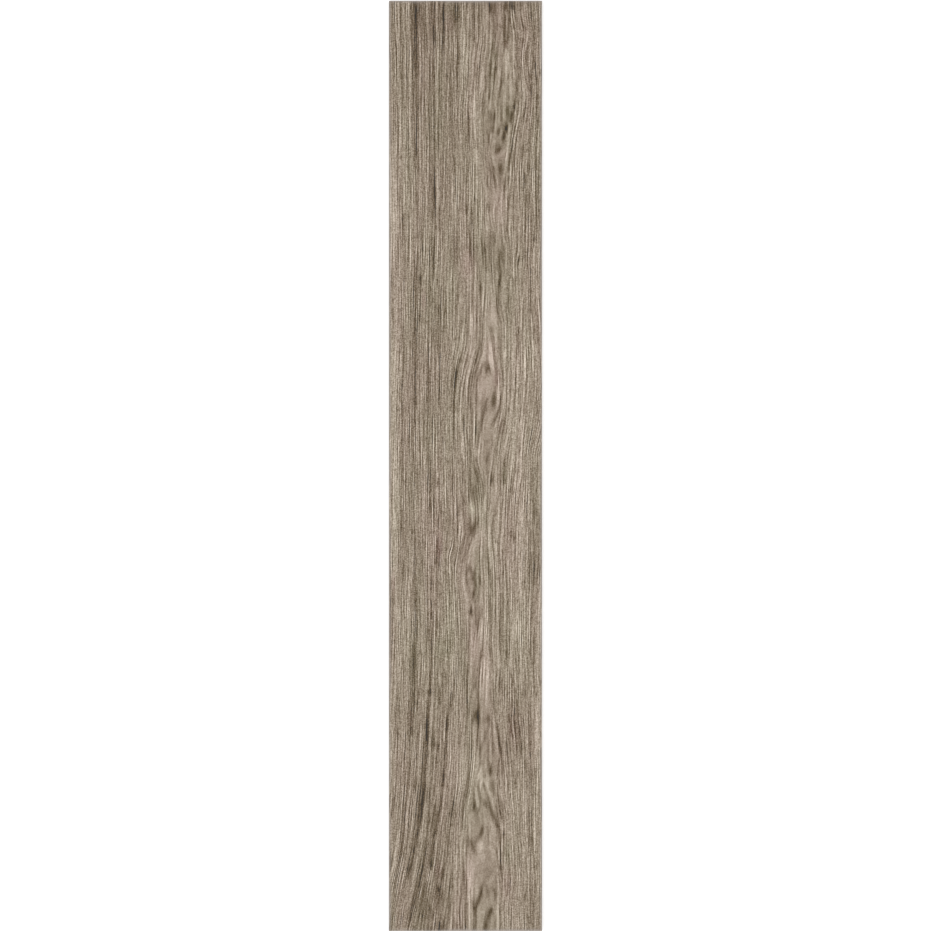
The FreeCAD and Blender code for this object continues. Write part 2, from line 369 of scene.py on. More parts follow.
    (-30, 1.2, (-0.8, 232), (-1.4, 212), (-2.6, 197), (-4.4, 182), (-5.8, 170)),
    (-28, 2, (-2, 149), (-5, 141), (-8, 130), (-10.4, 119), (-12.4, 107), (-13, 97)),
    (-26, 1.5, (-14.4, 92), (-14.6, 78), (-15, 60), (-15.4, 45), (-15.4, 25), (-15.3, 5)),
    (-22, 1.6, (-8.6, 62), (-9, 45), (-8.6, 32), (-7.8, 16)),
    (-30, 2.2, (-2.8, 70), (-2.6, 52), (-2.6, 42)),
    (-30, 1.4, (-45, 13), (-45, -2)),
    (34, 1.2, (-48.7, 260), (-48.8, 227)),
    (20, 1.4, (-45.4, 204), (-45.6, 165), (-45.2, 140), (-45, 118)),
    (28, 1.2, (-35.6, 302), (-35.7, 275), (-35.4, 252)),
    (22, 1, (-36.4, 234), (-36.4, 205)),
    (22, 1, (-36.2, 196), (-36.4, 167)),
    (36, 1.1, (-36.4, 147), (-36.2, 119)),
    (20, 1, (-36, 113), (-36.2, 75)),
    (20, 1, (-37.4, 45), (-37.4, 7)),
    (28, 1.4, (-18.4, 253), (-19.8, 240), (-19.6, 223)),
    (22, 1, (-6.2, 239), (-6.8, 222), (-7.6, 204)),
    (20, 1.2, (-2.4, 231), (-3, 215), (-4, 201)),
    (22, 1.3, (-15, 134), (-17, 124), (-18.4, 111)),
    (24, 1.4, (0, 214), (-1.8, 195), (-3.2, 180), (-4.4, 165), (-6, 152), (-8.4, 142), (-10.4, 133)),
    (28, 1.4, (3, 152), (1.2, 147), (-0.6, 141), (-3.2, 130), (-6.8, 112), (-8.6, 97), (-10, 84)),
    (-34, 1.3, (4.6, 144), (2.4, 139), (-0.6, 131), (-2.4, 125), (-4.6, 112), (-6.4, 100), (-7.8, 84)),
    (26, 1.2, (3, 134), (1, 127), (-0.6, 121), (-3.2, 110), (-4.8, 98), (-6, 88)),
    (-36, 1.3, (5.2, 134), (3.4, 127), (1, 119), (-0.8, 111), (-2.4, 99), (-3.6, 84)),
    (26, 1.8, (-6, 81), (-6.4, 65), (-6.8, 50), (-5.8, 37)),
    (26, 1.8, (-4.8, 43), (-4.2, 28), (-3.8, 10)),
    (20, 1.2, (-11.2, 83), (-11, 65), (-11.4, 47)),
    # The middle eye: nested lines that lean round it
    (-32, 1.3, (11.4, 300), (10.4, 280), (9.9, 262), (9.9, 245), (9.4, 225), (8.6, 205), (7.6, 191)),
    (18, 1.2, (7.8, 263), (7.2, 235), (6.4, 212), (5.4, 185), (4.4, 167)),
    (34, 1.7, (13.2, 260), (12.8, 240), (12.2, 222), (11.2, 207)),
    (38, 1.7, (9.4, 202), (8.8, 185), (8.4, 172), (7.6, 159)),
    (24, 1.3, (7.2, 159), (6, 147), (4, 140)),
    (30, 2, (10, 141), (6.6, 130), (3.4, 118), (1, 105), (0.4, 89)),
    (-32, 1.4, (6.4, 302), (6.2, 280), (6.4, 261)),
    (-26, 1.4, (2, 209), (1.4, 188), (0.4, 170), (-1, 154)),
    (-44, 2.3, (11, 128), (9, 118), (7, 108), (5.4, 98), (5, 88)),
    (-38, 2, (5, 92), (5.6, 82), (6, 71)),
    (-30, 1.6, (18, 150), (16.4, 145), (14, 137), (11.2, 127)),
    (-34, 1.5, (22, 173), (20.8, 162), (19.4, 154), (17.4, 147)),
    (-30, 1.4, (23.4, 206), (22.6, 192), (22.2, 180), (21.6, 167)),
    (-36, 2, (24, 292), (24.4, 275), (25, 262), (26, 249)),
    (-26, 1.5, (26.2, 254), (26.3, 240), (25.8, 222), (24.8, 208), (23.4, 195)),
    (-30, 2, (21.6, 294), (22.4, 282), (23.4, 270)),
    (-20, 1.2, (24.4, 171), (23.4, 160), (21.6, 150), (19.4, 140), (16.4, 130), (13.6, 120), (12, 107)),
    (-30, 1.5, (23.4, 132), (21, 127), (18, 120), (16, 110), (15, 98), (14.2, 88), (13.4, 78), (12.8, 64)),
    (-20, 1.6, (12.8, 66), (13, 50), (12.8, 36), (13.6, 23)),
    (-36, 1.6, (13.4, 22), (15, 24), (17, 33), (18.6, 43), (20, 52), (21.4, 60), (23.6, 70), (25.6, 78),
     (27.6, 87), (29.2, 94)),
    (-34, 1.5, (23.4, 132), (25.2, 126.5), (26.8, 122.5), (28.8, 127), (30.8, 126), (32.8, 122),
     (34.6, 118)),
    (-30, 2, (38.6, 94), (37.8, 82), (36, 74), (34, 71.5)),
    (-32, 1.6, (45, 173), (44.8, 155), (45.8, 136), (47, 118), (47.6, 105), (46.4, 92), (44.6, 80),
     (42.6, 70), (39.6, 62), (35, 55.5), (30, 52.5)),
    (26, 1.8, (43.6, 162), (43.8, 140), (44.4, 118), (44.4, 102), (43, 88), (40.6, 77)),
    (-60, 1.6, (48, 274), (45, 272), (43.2, 264), (44.4, 254), (45, 246), (44, 238), (42.4, 228), (42, 215),
     (42.2, 203), (43, 195), (45.6, 190)),
    (-40, 2.4, (44.6, 268), (46.6, 268), (49, 270)),
    (-26, 1.4, (33.4, 181), (32, 178), (34, 175.5), (36, 176), (37.6, 171)),
    (-26, 1.6, (36.4, 302), (36, 284)),
    (-16, 1.4, (31, 302), (30.6, 262), (32, 242), (33.4, 229)),
    (-28, 1.4, (14, 286), (14.6, 268), (15.2, 252), (16, 238), (17.6, 226), (18.6, 213)),
    (-22, 1.3, (19.8, 239), (19.4, 221)),
    (28, 1.5, (24.2, 244), (23.8, 228), (22.8, 212), (21.8, 197)),
    (24, 1.7, (28.6, 264), (28.8, 240), (28.6, 222), (27.4, 203), (26.2, 185), (25.8, 170), (24.4, 155),
     (22.6, 143), (19, 131), (16.4, 120)),
    (28, 1.3, (11.2, 86), (11.3, 60), (11.2, 38), (12, 24), (14, 16), (17, 20), (19, 32), (20.8, 44),
     (22.4, 55)),
    (24, 1.3, (46, 69), (43, 57), (40.6, 47), (39, 34), (37.4, 19)),
    (-22, 1.2, (48.6, 66), (45.8, 56), (43, 45), (40.6, 33), (39, 20), (38, 3)),
    (-24, 1.5, (37.6, 39), (35, 28), (32.4, 18), (29.6, 11), (26.8, 7)),
    (-30, 2, (25.4, 10), (28.6, 6)),
    (-34, 1.5, (2.4, 39), (4.6, 33), (5.8, 24), (6.4, 10), (6.2, -2)),
    (-26, 1.3, (7.6, 73), (8, 55), (8.6, 40), (8.2, 27)),
    # Right-hand flank, upper middle: lines that bow out round the cathedral
    (-40, 1.4, (50.2, 288), (50, 276)),
    (-24, 1.5, (57.6, 295), (57, 265), (56.4, 245), (55, 230), (54, 212)),
    (-30, 1.4, (53.8, 218), (54.2, 200), (54.6, 178)),
    (-40, 1.5, (65, 259), (67, 263.5), (70, 269.5)),
    (-22, 1.3, (65, 260), (64.6, 247), (64, 230)),
    (-26, 1.6, (64.6, 200), (66, 176), (66.2, 150), (65.4, 132)),
    (-24, 1.6, (65.4, 128), (65, 100), (63.6, 84), (63, 64)),
    (-26, 1.5, (84, 232), (84, 212), (85.6, 195), (88.4, 176)),
    (-40, 1.6, (51.4, 11), (49.8, 3), (49.4, -5)),
    (20, 1.3, (57.2, 70), (56.4, 50), (53.6, 36), (50.6, 24)),
    (18, 1.3, (63, 30), (61.4, 8), (58.6, -8), (55.6, -26), (53.6, -50)),
    (18, 1.5, (72, 70), (71.8, 40), (71.6, -10)),
    # Right-hand flank, upper middle: more of its pale and dark lines
    (30, 1.1, (63.2, 258), (62.9, 242)),
    (18, 1.3, (57.8, 262), (58.2, 240), (57.4, 222)),
    (22, 1.4, (67.6, 196), (67.2, 176)),
    (34, 1.4, (76, 152), (76.2, 130), (76, 106)),
    (20, 1.3, (75.6, 104), (74.8, 82)),
    (24, 1.4, (63.4, 168), (63.4, 140), (62.4, 116), (60.8, 96), (59.2, 78), (58.6, 64)),
    (26, 1.6, (68.8, 140), (67.6, 115), (66.8, 92), (65.8, 68), (64, 48), (62.8, 30), (61, 12), (59, -2)),
    (28, 1.3, (74, 84), (73, 68), (72, 52), (71.2, 36), (70.4, 22)),
    (-24, 1.1, (73.2, 84), (71.6, 70), (70, 55)),
    (28, 1.3, (68.4, 18), (67.6, 2)),
    (-26, 1.3, (75.8, 222), (74.8, 206), (73.8, 190), (73.6, 176)),
    (20, 1.3, (73, 218), (72.2, 198), (72.2, 176)),
    (-28, 1.3, (76, 284), (76, 264)),
    (-30, 1.9, (80, 284), (80.4, 266), (80.8, 255)),
    (-26, 1.3, (80.8, 258), (82, 243), (83.4, 228)),
    (-24, 2, (87.4, 300), (86.8, 286)),
    (20, 1.6, (90.6, 292), (91, 268), (91, 245)),
    (16, 1.3, (91.2, 240), (93, 218), (95.4, 190)),
    (22, 1.6, (85.8, 196), (87.6, 176)),
    (-22, 1.2, (83.6, 184), (85.4, 173), (87, 162)),
    (22, 1.4, (84, 170), (86, 158), (88.4, 147), (89.8, 132), (89.6, 112)),
    (-22, 1.3, (87, 54), (84.4, 40), (82, 30), (80.6, 20)),
    (-20, 1.4, (92.4, 90), (91, 72)),
    (-20, 1.6, (94.6, 172), (94.4, 155)),
    (24, 1.6, (50.6, 155), (50.2, 128)),
    (20, 1.5, (49.6, 105), (49, 84)),
    # Left of the crossed knot: straight lines with breaks, and the notch that the knot pulls in
    (-30, 1.3, (-48.6, -8), (-48.6, -27)),
    (-34, 1.6, (-45.2, -4), (-45.2, -33)),
    (-36, 1.4, (-45.3, -38), (-45.4, -63)),
    (-26, 1.2, (-39.8, -9), (-39.8, -25)),
    (-24, 1.3, (-41, -33), (-40.6, -55), (-40, -73)),
    (-34, 1.2, (-36, -17), (-36, -28)),
    (-28, 1.4, (-35.4, -55), (-35.4, -85)),
    (-24, 1.2, (-32.4, -45), (-32.2, -65)),
    (-38, 1.6, (-36.6, -89), (-37, -105), (-37.6, -120), (-37, -135)),
    (-32, 1.4, (-37.4, -139), (-37, -155), (-36.4, -175)),
    (-28, 1.3, (-34.8, -119), (-34.6, -132)),
    (-32, 1.5, (-33.4, -162), (-33.4, -173)),
    (-18, 2.4, (-43.4, -123), (-43, -139)),
    (-46, 1.6, (-45, -141), (-44.8, -152), (-44.6, -164)),
    (-24, 1.4, (-49.6, -127), (-49.8, -166)),
    (-34, 1.5, (-44.4, -169), (-43.8, -185)),
    (-54, 1.7, (-43.6, -186), (-43.4, -200)),
    (-44, 1.9, (-43.2, -200), (-43.2, -220), (-43.6, -238), (-44.4, -257)),
    (-36, 1.9, (-44.4, -256), (-45, -272), (-45.4, -288)),
    (-50, 2.2, (-45.4, -285), (-45.2, -298)),
    (-20, 1.6, (-49, -199), (-49, -236)),
    (-36, 1.6, (-37, -194), (-36.8, -213)),
    (-28, 1.5, (-39.4, -239), (-39.4, -263)),
    (-30, 1.6, (-39.4, -266), (-39.6, -297)),
    (-32, 1.4, (-32.6, -247), (-32, -261)),
    (-22, 1.4, (-20.6, -221), (-20, -237)),
    (-28, 2, (-23, -261), (-24.6, -275), (-26.4, -291)),
    (-24, 1.2, (-19.6, -59), (-19.2, -81)),
    (-30, 1.4, (-15.6, -4), (-15.8, -15), (-16.4, -36)),
    (-30, 1.3, (-15.6, -39), (-15.6, -58), (-16.6, -78), (-16.4, -88)),
    (-30, 1.2, (-19.8, -157), (-20, -172), (-20.6, -183)),
    (-24, 1.2, (-12.6, -167), (-12, -190), (-12.6, -219)),
    (-34, 2.2, (-9, -45), (-9.4, -58), (-10, -68)),
    (-24, 1.4, (-10, -68), (-10.2, -86), (-11, -101)),
    (-26, 1.4, (-2.8, -1), (-2.6, -21)),
    (-34, 1.4, (-2.8, -29), (-2.4, -48), (-1.2, -62), (-0.4, -78), (-0.8, -88), (-2.6, -96), (-5, -103),
     (-6.8, -112), (-8.6, -125)),
    (-14, 3, (-12, -103), (-16, -113)),
    (-28, 1.3, (-4.8, -207), (-5.2, -225), (-5, -241)),
    (-24, 1.3, (-6.8, -243), (-6.2, -267)),
    (-30, 1.8, (-12.6, -263), (-14, -276), (-15.4, -291)),
    (-34, 2.4, (-16.6, -288), (-18, -303)),
    (40, 1.1, (-36, -5), (-36, -16)),
    (28, 1.1, (-37.4, -27), (-37.4, -43)),
    (24, 1.2, (-37.8, -47), (-37.4, -73)),
    (24, 1.5, (-38.4, -75), (-38.8, -95), (-39, -117)),
    (18, 1.2, (-38.8, -139), (-39.2, -173)),
    (26, 1.5, (-48, -117), (-47.4, -135), (-46.8, -150), (-46.4, -166)),
    (22, 1.3, (-39.8, -181), (-40.2, -201)),
    (34, 1.2, (-40, -205), (-40, -218), (-40.6, -232), (-41.2, -249)),
    (26, 1.2, (-41, -255), (-41.4, -272), (-41.6, -290), (-42.4, -304)),
    (28, 1.2, (-27.4, -21), (-27.2, -42)),
    (28, 1.3, (-20.6, -127), (-20.4, -140)),
    (26, 1.6, (-22.8, -159), (-22.6, -175), (-22.4, -191)),
    (18, 1.4, (-22.4, -191), (-22.4, -217)),
    (22, 1.4, (-15.2, -161), (-14.8, -181)),
    (32, 1.5, (-14.8, -181), (-14.6, -200), (-14.2, -219)),
    (34, 1.3, (-13.9, -39), (-13.8, -58), (-13.8, -75)),
    (18, 1.3, (-17.6, -43), (-17.4, -81)),
    (26, 1.6, (-5.8, -59), (-6.4, -72), (-7.8, -84), (-9, -95), (-10.4, -105)),
    (24, 1.5, (-2.8, -55), (-2.8, -76), (-4, -90), (-6.4, -103)),
    (34, 1.3, (-18, -239), (-18, -256), (-17.8, -271)),
    (24, 1.2, (-17.8, -271), (-18, -293)),
    (20, 1.2, (-24, -233), (-26, -246), (-28.6, -260)),
    # Between the eyes, the crossed knot and the lower eye
    (-42, 1.8, (5.8, 2), (5.9, -18), (5.6, -32), (6.4, -42), (8, -46)),
    (-44, 2.4, (11, 3), (13.6, -7), (16, -16), (16.8, -26)),
    (-28, 1.8, (16.6, -24), (17.6, -35), (19.4, -44)),
    (-36, 1.7, (6.6, -44), (8.6, -36), (10.6, -30), (11.8, -26.5), (13, -34), (14.2, -46), (14.6, -56),
     (14, -66)),
    (-24, 2.2, (14, -66), (12.2, -76), (9.6, -86)),
    (-36, 1.5, (16.6, -61), (16, -72), (15, -82)),
    (-34, 2.2, (5.4, -68), (6, -78), (8, -90)),
    (-40, 1.8, (10, -88), (6.4, -98), (3.2, -109), (0.6, -119), (-2.6, -131)),
    (-34, 1.5, (1.6, -142), (2.6, -135), (5, -132), (7.4, -134), (9, -141)),
    (-42, 1.6, (8.2, -138), (9.8, -143), (12, -150), (14.2, -157)),
    (-40, 1.5, (11.6, -131), (11.8, -138), (13, -144)),
    (-32, 1.5, (17.2, -139), (17.8, -148), (16.6, -156)),
    (-46, 1.6, (12.8, -155), (11, -163), (10, -169), (8.6, -176)),
    (-32, 1.5, (5.4, -181), (6.4, -188), (7.4, -192)),
    (-26, 1.3, (16.8, -160), (16.8, -177)),
    (-34, 2, (17.6, -178), (18.2, -190), (17, -202), (15, -212), (13.4, -219)),
    (-24, 1.3, (12.4, -186), (13.4, -196), (14, -207)),
    (-34, 1.5, (22.6, -8), (23.4, -22), (23, -36), (21.6, -52)),
    (-26, 1.4, (27.6, -30), (28.4, -48), (28.2, -64), (28, -80), (28.2, -100)),
    (-44, 1.8, (28.4, -100), (28.8, -112), (29.6, -124), (31, -138), (32, -150), (32, -161)),
    (-34, 1.6, (31.4, -160), (31, -174), (31.8, -186), (31, -204), (30.2, -222)),
    (-36, 1.6, (29.6, -224), (31, -234), (33, -242), (34, -252), (34.2, -265)),
    (-24, 1.8, (34, -264), (34.4, -282), (34.6, -305), (34.4, -320)),
    (-28, 1.5, (40.4, -66), (37.6, -62), (35.6, -68), (34.4, -80), (34.4, -90), (35.6, -102), (36.8, -114),
     (38.4, -128)),
    (-28, 1.3, (38.4, -128), (39.2, -145), (39, -165), (38.8, -185), (38.6, -206)),
    (-24, 1.2, (43.6, -2), (44, -25), (43, -40), (41.4, -54), (39.6, -64)),
    (-30, 1.3, (48.6, -2), (48.4, -18), (48.6, -34)),
    (-24, 1.3, (47.2, -36), (46, -52), (45, -70), (45, -91)),
    (-26, 1.3, (48, -98), (47.4, -112), (48, -132), (48.2, -155)),
    (-24, 1.5, (43, -140), (43, -156)),
    (-38, 2, (44, -160), (44.4, -178), (44.6, -200), (44.4, -220), (44.8, -236), (45.6, -249)),
    (-32, 1.8, (44.2, -256), (43.8, -272), (43.6, -291)),
    (-32, 1.4, (41.4, -254), (40, -266), (38.8, -278), (38.2, -297)),
    (-32, 1.7, (3, -204), (3.6, -216), (3.4, -228), (2.2, -243)),
    (-28, 1.9, (1.4, -250), (1, -268), (1.6, -284), (2.2, -300), (3.4, -314), (3, -331)),
    (-34, 2, (21, -241), (21.4, -249)),
    (-18, 2.2, (22, -232), (19.6, -240), (17.4, -256), (15.6, -268), (13, -280), (10.4, -295)),
    (-24, 2.4, (15.6, -276), (16, -292), (15.4, -304)),
    (-20, 1.3, (24.4, -58), (24.6, -81)),
    (-16, 1.4, (23.6, -112), (23.6, -130), (24.4, -150), (24.6, -175), (24, -191)),
    (-28, 1.3, (34.6, -4), (33, -12), (34.4, -20), (36, -10)),
    (34, 1.4, (2.6, -157), (2.8, -172), (3.2, -186), (3, -199)),
    (26, 1.2, (24.6, -35), (24.6, -59)),
    (28, 2.2, (31, -53), (30.4, -70), (31, -90), (31.6, -108), (33, -124), (34.2, -143)),
    (20, 1.3, (36.4, -86), (38, -100), (39.6, -114), (40.4, -125)),
    (26, 1.5, (40.8, -139), (41, -160), (41.4, -180), (41.6, -200), (42.2, -222), (42.4, -245), (42, -262),
     (41.4, -286)),
    (26, 2, (26, -119), (26.4, -145), (26, -175), (26.4, -205), (26, -233)),
    (24, 2.4, (22.4, -195), (20.2, -208), (18.4, -223)),
    (22, 1.3, (20, -157), (20.8, -172), (21.2, -183)),
    (22, 1.4, (44.6, -33), (43.6, -50), (42, -62), (41, -79)),
    (18, 1.2, (47.4, -49), (46.6, -68), (46, -90), (45.2, -119)),
    (22, 1.5, (41, -21), (40.6, -37)),
    (26, 2.4, (12, -88), (8.4, -99), (5, -110), (2, -121), (-0.4, -133)),
    (24, 1.2, (37, -265), (37.2, -287)),
    (24, 1.4, (13, -283), (10.4, -302)),
    (20, 1.4, (19.6, -277), (19, -303)),
    # Right-hand flank, lower middle: long lines that lean with the lower eye
    (-30, 2.1, (58.6, -8), (58.6, -24), (57, -38)),
    (-30, 1.6, (57.4, -28), (55.2, -50), (54.6, -70), (53.2, -90), (52.8, -122), (53.6, -145)),
    (-20, 1.3, (53.4, -2), (51.6, -25), (51, -50)),
    (-34, 1.7, (53, -140), (53.6, -160), (52.8, -200), (53.2, -228), (54.2, -250)),
    (-28, 1.6, (54.4, -272), (55, -312)),
    (22, 1.2, (58.6, -235), (58.4, -260)),
    (-42, 1.3, (84, -212), (84, -240), (85, -262)),
    (-30, 1.2, (88.4, -215), (88.6, -255)),
    (-36, 1.4, (87.2, -168), (86, -186), (85.4, -205)),
    (-30, 1.6, (86, -82), (88, -98), (91, -110)),
    (-24, 1.6, (82.8, -300), (83, -375)),
    (20, 2, (89.6, -300), (90, -350), (90, -395)),
    # Right-hand flank, lower middle: more of its pale and dark lines
    (26, 2, (71.6, -50), (71.8, -85), (72, -112), (71.6, -136), (70.8, -160), (70.8, -186)),
    (16, 1.8, (70.4, -186), (70.6, -215), (71, -250), (71.2, -280)),
    (22, 1.6, (66.2, 0), (64.2, -18), (62, -38), (60.4, -60)),
    (24, 1.6, (71.4, 2), (69.8, -16), (67.6, -36), (66.2, -56)),
    (-22, 1.2, (72.8, -16), (70.6, -30), (68.8, -44)),
    (-24, 1.3, (65.8, -32), (64.2, -48), (63.4, -62)),
    (18, 2, (75, -22), (73.6, -46), (72.8, -66)),
    (24, 1.3, (81.8, -24), (81.4, -50), (81, -78)),
    (-26, 1.6, (86, 2), (86.4, -22)),
    (-28, 1.3, (87.2, -30), (87.4, -55), (87.6, -78)),
    (-20, 1.4, (84, -22), (84, -50)),
    (-36, 1.3, (87.6, -112), (87.4, -135), (87.6, -160)),
    (-26, 1.2, (85, -112), (85.2, -146)),
    (-22, 1.6, (80.6, -95), (80.8, -125), (80.4, -148)),
    (-24, 1.6, (75.6, -110), (75, -130)),
    (-22, 1.6, (76.4, -136), (76, -165)),
    (-22, 1.4, (92.4, -100), (92.6, -128), (92.4, -155)),
    (-18, 1.4, (90.4, -118), (90, -158)),
    (20, 1.1, (78.4, -78), (78.6, -112)),
    (26, 1.6, (50.4, -22), (49.6, -40)),
    (26, 1.2, (56, -62), (55, -78), (54.4, -98)),
    (30, 1.5, (54, -112), (54, -132)),
    (-30, 1.5, (59.2, -80), (59.4, -96)),
    (-36, 1.3, (63, -84), (62.8, -98)),
    (22, 1.8, (54.6, -198), (54.8, -218)),
    (26, 1.3, (62.6, -192), (63, -208), (62.8, -226)),
    (18, 1.5, (69.6, -192), (69.6, -222)),
    (18, 1.3, (66.6, -165), (66.8, -195), (67, -225)),
    (-26, 1.3, (66, -168), (65.6, -190)),
    (26, 1.2, (84.8, -218), (85.4, -244)),
    (16, 1.6, (50.8, -135), (51.4, -175), (51.2, -220)),
    (-16, 1.8, (48.8, -150), (48.8, -200), (49, -235)),
    (-24, 2, (52.8, -238), (52.6, -262)),
    (-24, 1.6, (60.4, -268), (60.4, -284)),
    (-26, 1.8, (76.4, -284), (76, -298)),
    (-26, 1.6, (65.4, -282), (65.2, -298)),
    (-18, 1.6, (64, -232), (64.2, -256)),
    # Left of the lowest cathedral: slanted lines that run down to the corner
    (-40, 2, (-46.2, -290), (-47.4, -308), (-48, -325), (-48.4, -345), (-48.2, -365)),
    (-40, 1.4, (-42, -335), (-42.8, -348), (-44, -367)),
    (-40, 1.6, (-34.6, -298), (-33.2, -304), (-32.8, -311)),
    (-26, 1.1, (-33.4, -311), (-33.6, -330), (-34, -351)),
    (-40, 1.3, (-35.2, -354), (-35.4, -367)),
    (-26, 1.4, (-37, -371), (-37.6, -383)),
    (-30, 1.8, (-19.8, -298), (-21, -312), (-22.4, -325)),
    (-46, 2, (-22.4, -322), (-23.6, -333), (-25, -345)),
    (-26, 1.9, (-25, -344), (-26, -358), (-27, -374), (-28, -388)),
    (-54, 1.8, (-28, -387), (-28.4, -398), (-28.8, -408), (-29.6, -418)),
    (-44, 2, (-29.6, -417), (-30.6, -427), (-31.6, -437), (-34, -448)),
    (-40, 1.8, (-34, -446), (-36, -454), (-38, -463)),
    (-52, 1.6, (-38, -461), (-39.6, -470), (-41.2, -480)),
    (-36, 2.4, (-41, -479), (-42, -494), (-43.4, -505)),
    (-40, 2.2, (-43.4, -504), (-45.8, -519)),
    (-34, 1.1, (-39.6, -435), (-39.8, -445)),
    (-34, 1.1, (-40, -411), (-40, -421)),
    (-30, 1.2, (-41, -451), (-42, -463)),
    (-40, 1.6, (-14.6, -429), (-15.8, -437)),
    (-54, 1.9, (-15.6, -436), (-17.4, -446), (-19, -456)),
    (-38, 1.4, (-19, -455), (-20.2, -466), (-21.2, -476), (-22.4, -488), (-23.8, -500), (-25.6, -509)),
    (-34, 1.5, (-25.6, -508), (-27.8, -515)),
    (-44, 1.7, (-27.8, -515), (-29.6, -524), (-31.2, -536)),
    (-46, 2, (-34, -540), (-35.4, -549)),
    (-30, 2.2, (-31.6, -585), (-33.4, -602)),
    (-28, 1.6, (-29.8, -602), (-27.6, -587), (-25.6, -576), (-23.6, -564), (-21.6, -551), (-19.4, -538),
     (-17.6, -524)),
    (-34, 1.4, (-5.8, -337), (-7, -350), (-7.8, -364)),
    (-26, 1.3, (-8, -363), (-8.6, -378), (-9.2, -399)),
    (-26, 1.2, (-2, -477), (-3, -493)),
    (-40, 1.5, (-2.6, -495), (-2.4, -512), (-2.6, -522), (-3.6, -535), (-5, -548)),
    (-44, 1.5, (-5, -547), (-6.4, -560), (-6.8, -574), (-6.4, -586), (-5, -602)),
    (-22, 1.3, (-10, -514), (-10.6, -540), (-11, -560), (-11.6, -578), (-12.4, -598)),
    (-16, 1.2, (-14.8, -529), (-15.4, -560), (-15.4, -581)),
    (-32, 1.3, (-47.4, -407), (-48.4, -422), (-49.4, -439)),
    (28, 1.2, (-42.2, -297), (-43.4, -315), (-44.2, -330), (-45.2, -350), (-46.2, -368), (-46.8, -388)),
    (36, 1.3, (-47.4, -391), (-48, -402), (-49, -417)),
    (24, 1.2, (-26, -329), (-27, -342), (-28, -356)),
    (22, 1.2, (-20.6, -381), (-22.8, -392), (-24.8, -401)),
    (36, 1.3, (-24.6, -400), (-26, -411), (-27.2, -423), (-28.8, -434), (-30.4, -443), (-32.4, -454)),
    (24, 1.3, (-32.4, -455), (-35, -472), (-36.6, -484), (-38.6, -497), (-40.4, -507), (-42.6, -520),
     (-45, -530), (-48, -547)),
    (26, 1.6, (-33.6, -405), (-35, -418), (-36.4, -434)),
    (20, 1.3, (-17.2, -457), (-19, -470), (-20.6, -482), (-21.8, -495), (-23, -508)),
    (28, 1.3, (-23, -554), (-24.8, -564), (-26.8, -574), (-28.6, -586), (-30.2, -596)),
    (20, 1.3, (-5.2, -465), (-4.8, -490), (-4.6, -521)),
    (28, 1.4, (-0.6, -479), (-1, -500), (-1, -523)),
    (20, 1.4, (-4, -555), (-4.8, -575), (-3.4, -594)),
    (22, 1.4, (-11.8, -496), (-11.8, -519)),
    (16, 1.4, (-13.8, -514), (-13.6, -560), (-13.4, -587)),
    (16, 1.6, (-7.6, -521), (-8.2, -560), (-8.6, -592)),
    (26, 1.2, (-46.6, -515), (-48.4, -527), (-50.2, -537)),
    # The lowest cathedral: arches that point up, crossed by zigzags
    (-34, 1.5, (9.6, -335), (10.2, -327), (12, -322)),
    (-40, 2.4, (12, -321), (14.4, -319.5), (16.6, -322)),
    (-50, 2, (17, -299), (16.8, -316), (16.6, -330), (16.4, -343)),
    (-36, 1.6, (16.2, -342), (15.6, -354), (16.4, -363), (18.2, -370)),
    (-28, 1.5, (18.2, -370), (20.4, -363), (23, -353), (26, -347), (28.6, -342)),
    (-30, 1.6, (23.8, -335), (25, -328), (28, -324), (30.8, -326), (33, -332), (34.8, -338)),
    (-28, 1.6, (28.4, -345), (29, -360), (28.8, -374), (28.4, -393)),
    (-34, 2.2, (29, -392), (31.6, -390), (33.4, -396)),
    (-26, 1.8, (34.8, -334), (34.6, -350), (36.2, -361), (38.4, -370), (40, -380), (41, -392), (42, -405)),
    (-30, 1.6, (37, -297), (38.2, -312), (39, -323)),
    (-56, 1.6, (38.6, -320), (40.2, -334), (42, -346), (43.8, -357), (45.4, -369), (46.8, -380)),
    (-36, 1.4, (46.8, -379), (48.4, -389), (50, -397)),
    (-34, 1.5, (8, -347), (8.2, -362), (7.4, -374), (6, -384)),
    (-40, 1.8, (6, -383), (4.6, -392), (3.4, -404), (2.2, -415), (0.2, -425), (-2, -431), (-3.8, -447),
     (-5.4, -464)),
    (-56, 2.2, (9.8, -434), (11, -438), (12.6, -442)),
    (-30, 1.4, (12.6, -443), (15.4, -445), (18, -441), (19, -433), (19, -423)),
    (-26, 1.3, (20, -421), (21.4, -413), (22.6, -410), (24.2, -412.5), (26, -418)),
    (-36, 1.5, (26, -418), (29, -427), (32, -436.5), (35, -446), (38.4, -455), (41.4, -463.5), (44, -464)),
    (-34, 1.4, (21.6, -439), (23.4, -434), (26, -433.6), (28.8, -437.6), (31, -443), (34, -450),
     (37, -457.6), (39.6, -464), (42, -467)),
    (-22, 3, (33, -407), (34.4, -419)),
    (-30, 1.6, (35, -407), (36.8, -416), (38.6, -425)),
    (-44, 2, (38.6, -424), (40, -433), (41.6, -442), (44, -450), (46.6, -458), (47.8, -462)),
    (-34, 1.5, (44.8, -429), (47, -436), (49.6, -446)),
    (-38, 1.5, (43, -466), (44.2, -475), (45, -487), (45.2, -500), (46.2, -516), (47, -533)),
    (-22, 1.4, (38.4, -477), (40, -490), (41.4, -504), (42.8, -520), (43.8, -541)),
    (-46, 1.7, (23.2, -461), (21, -470), (18.6, -476), (15.4, -477)),
    (-38, 1.7, (15, -478), (13.2, -484), (11.4, -492), (10.6, -501)),
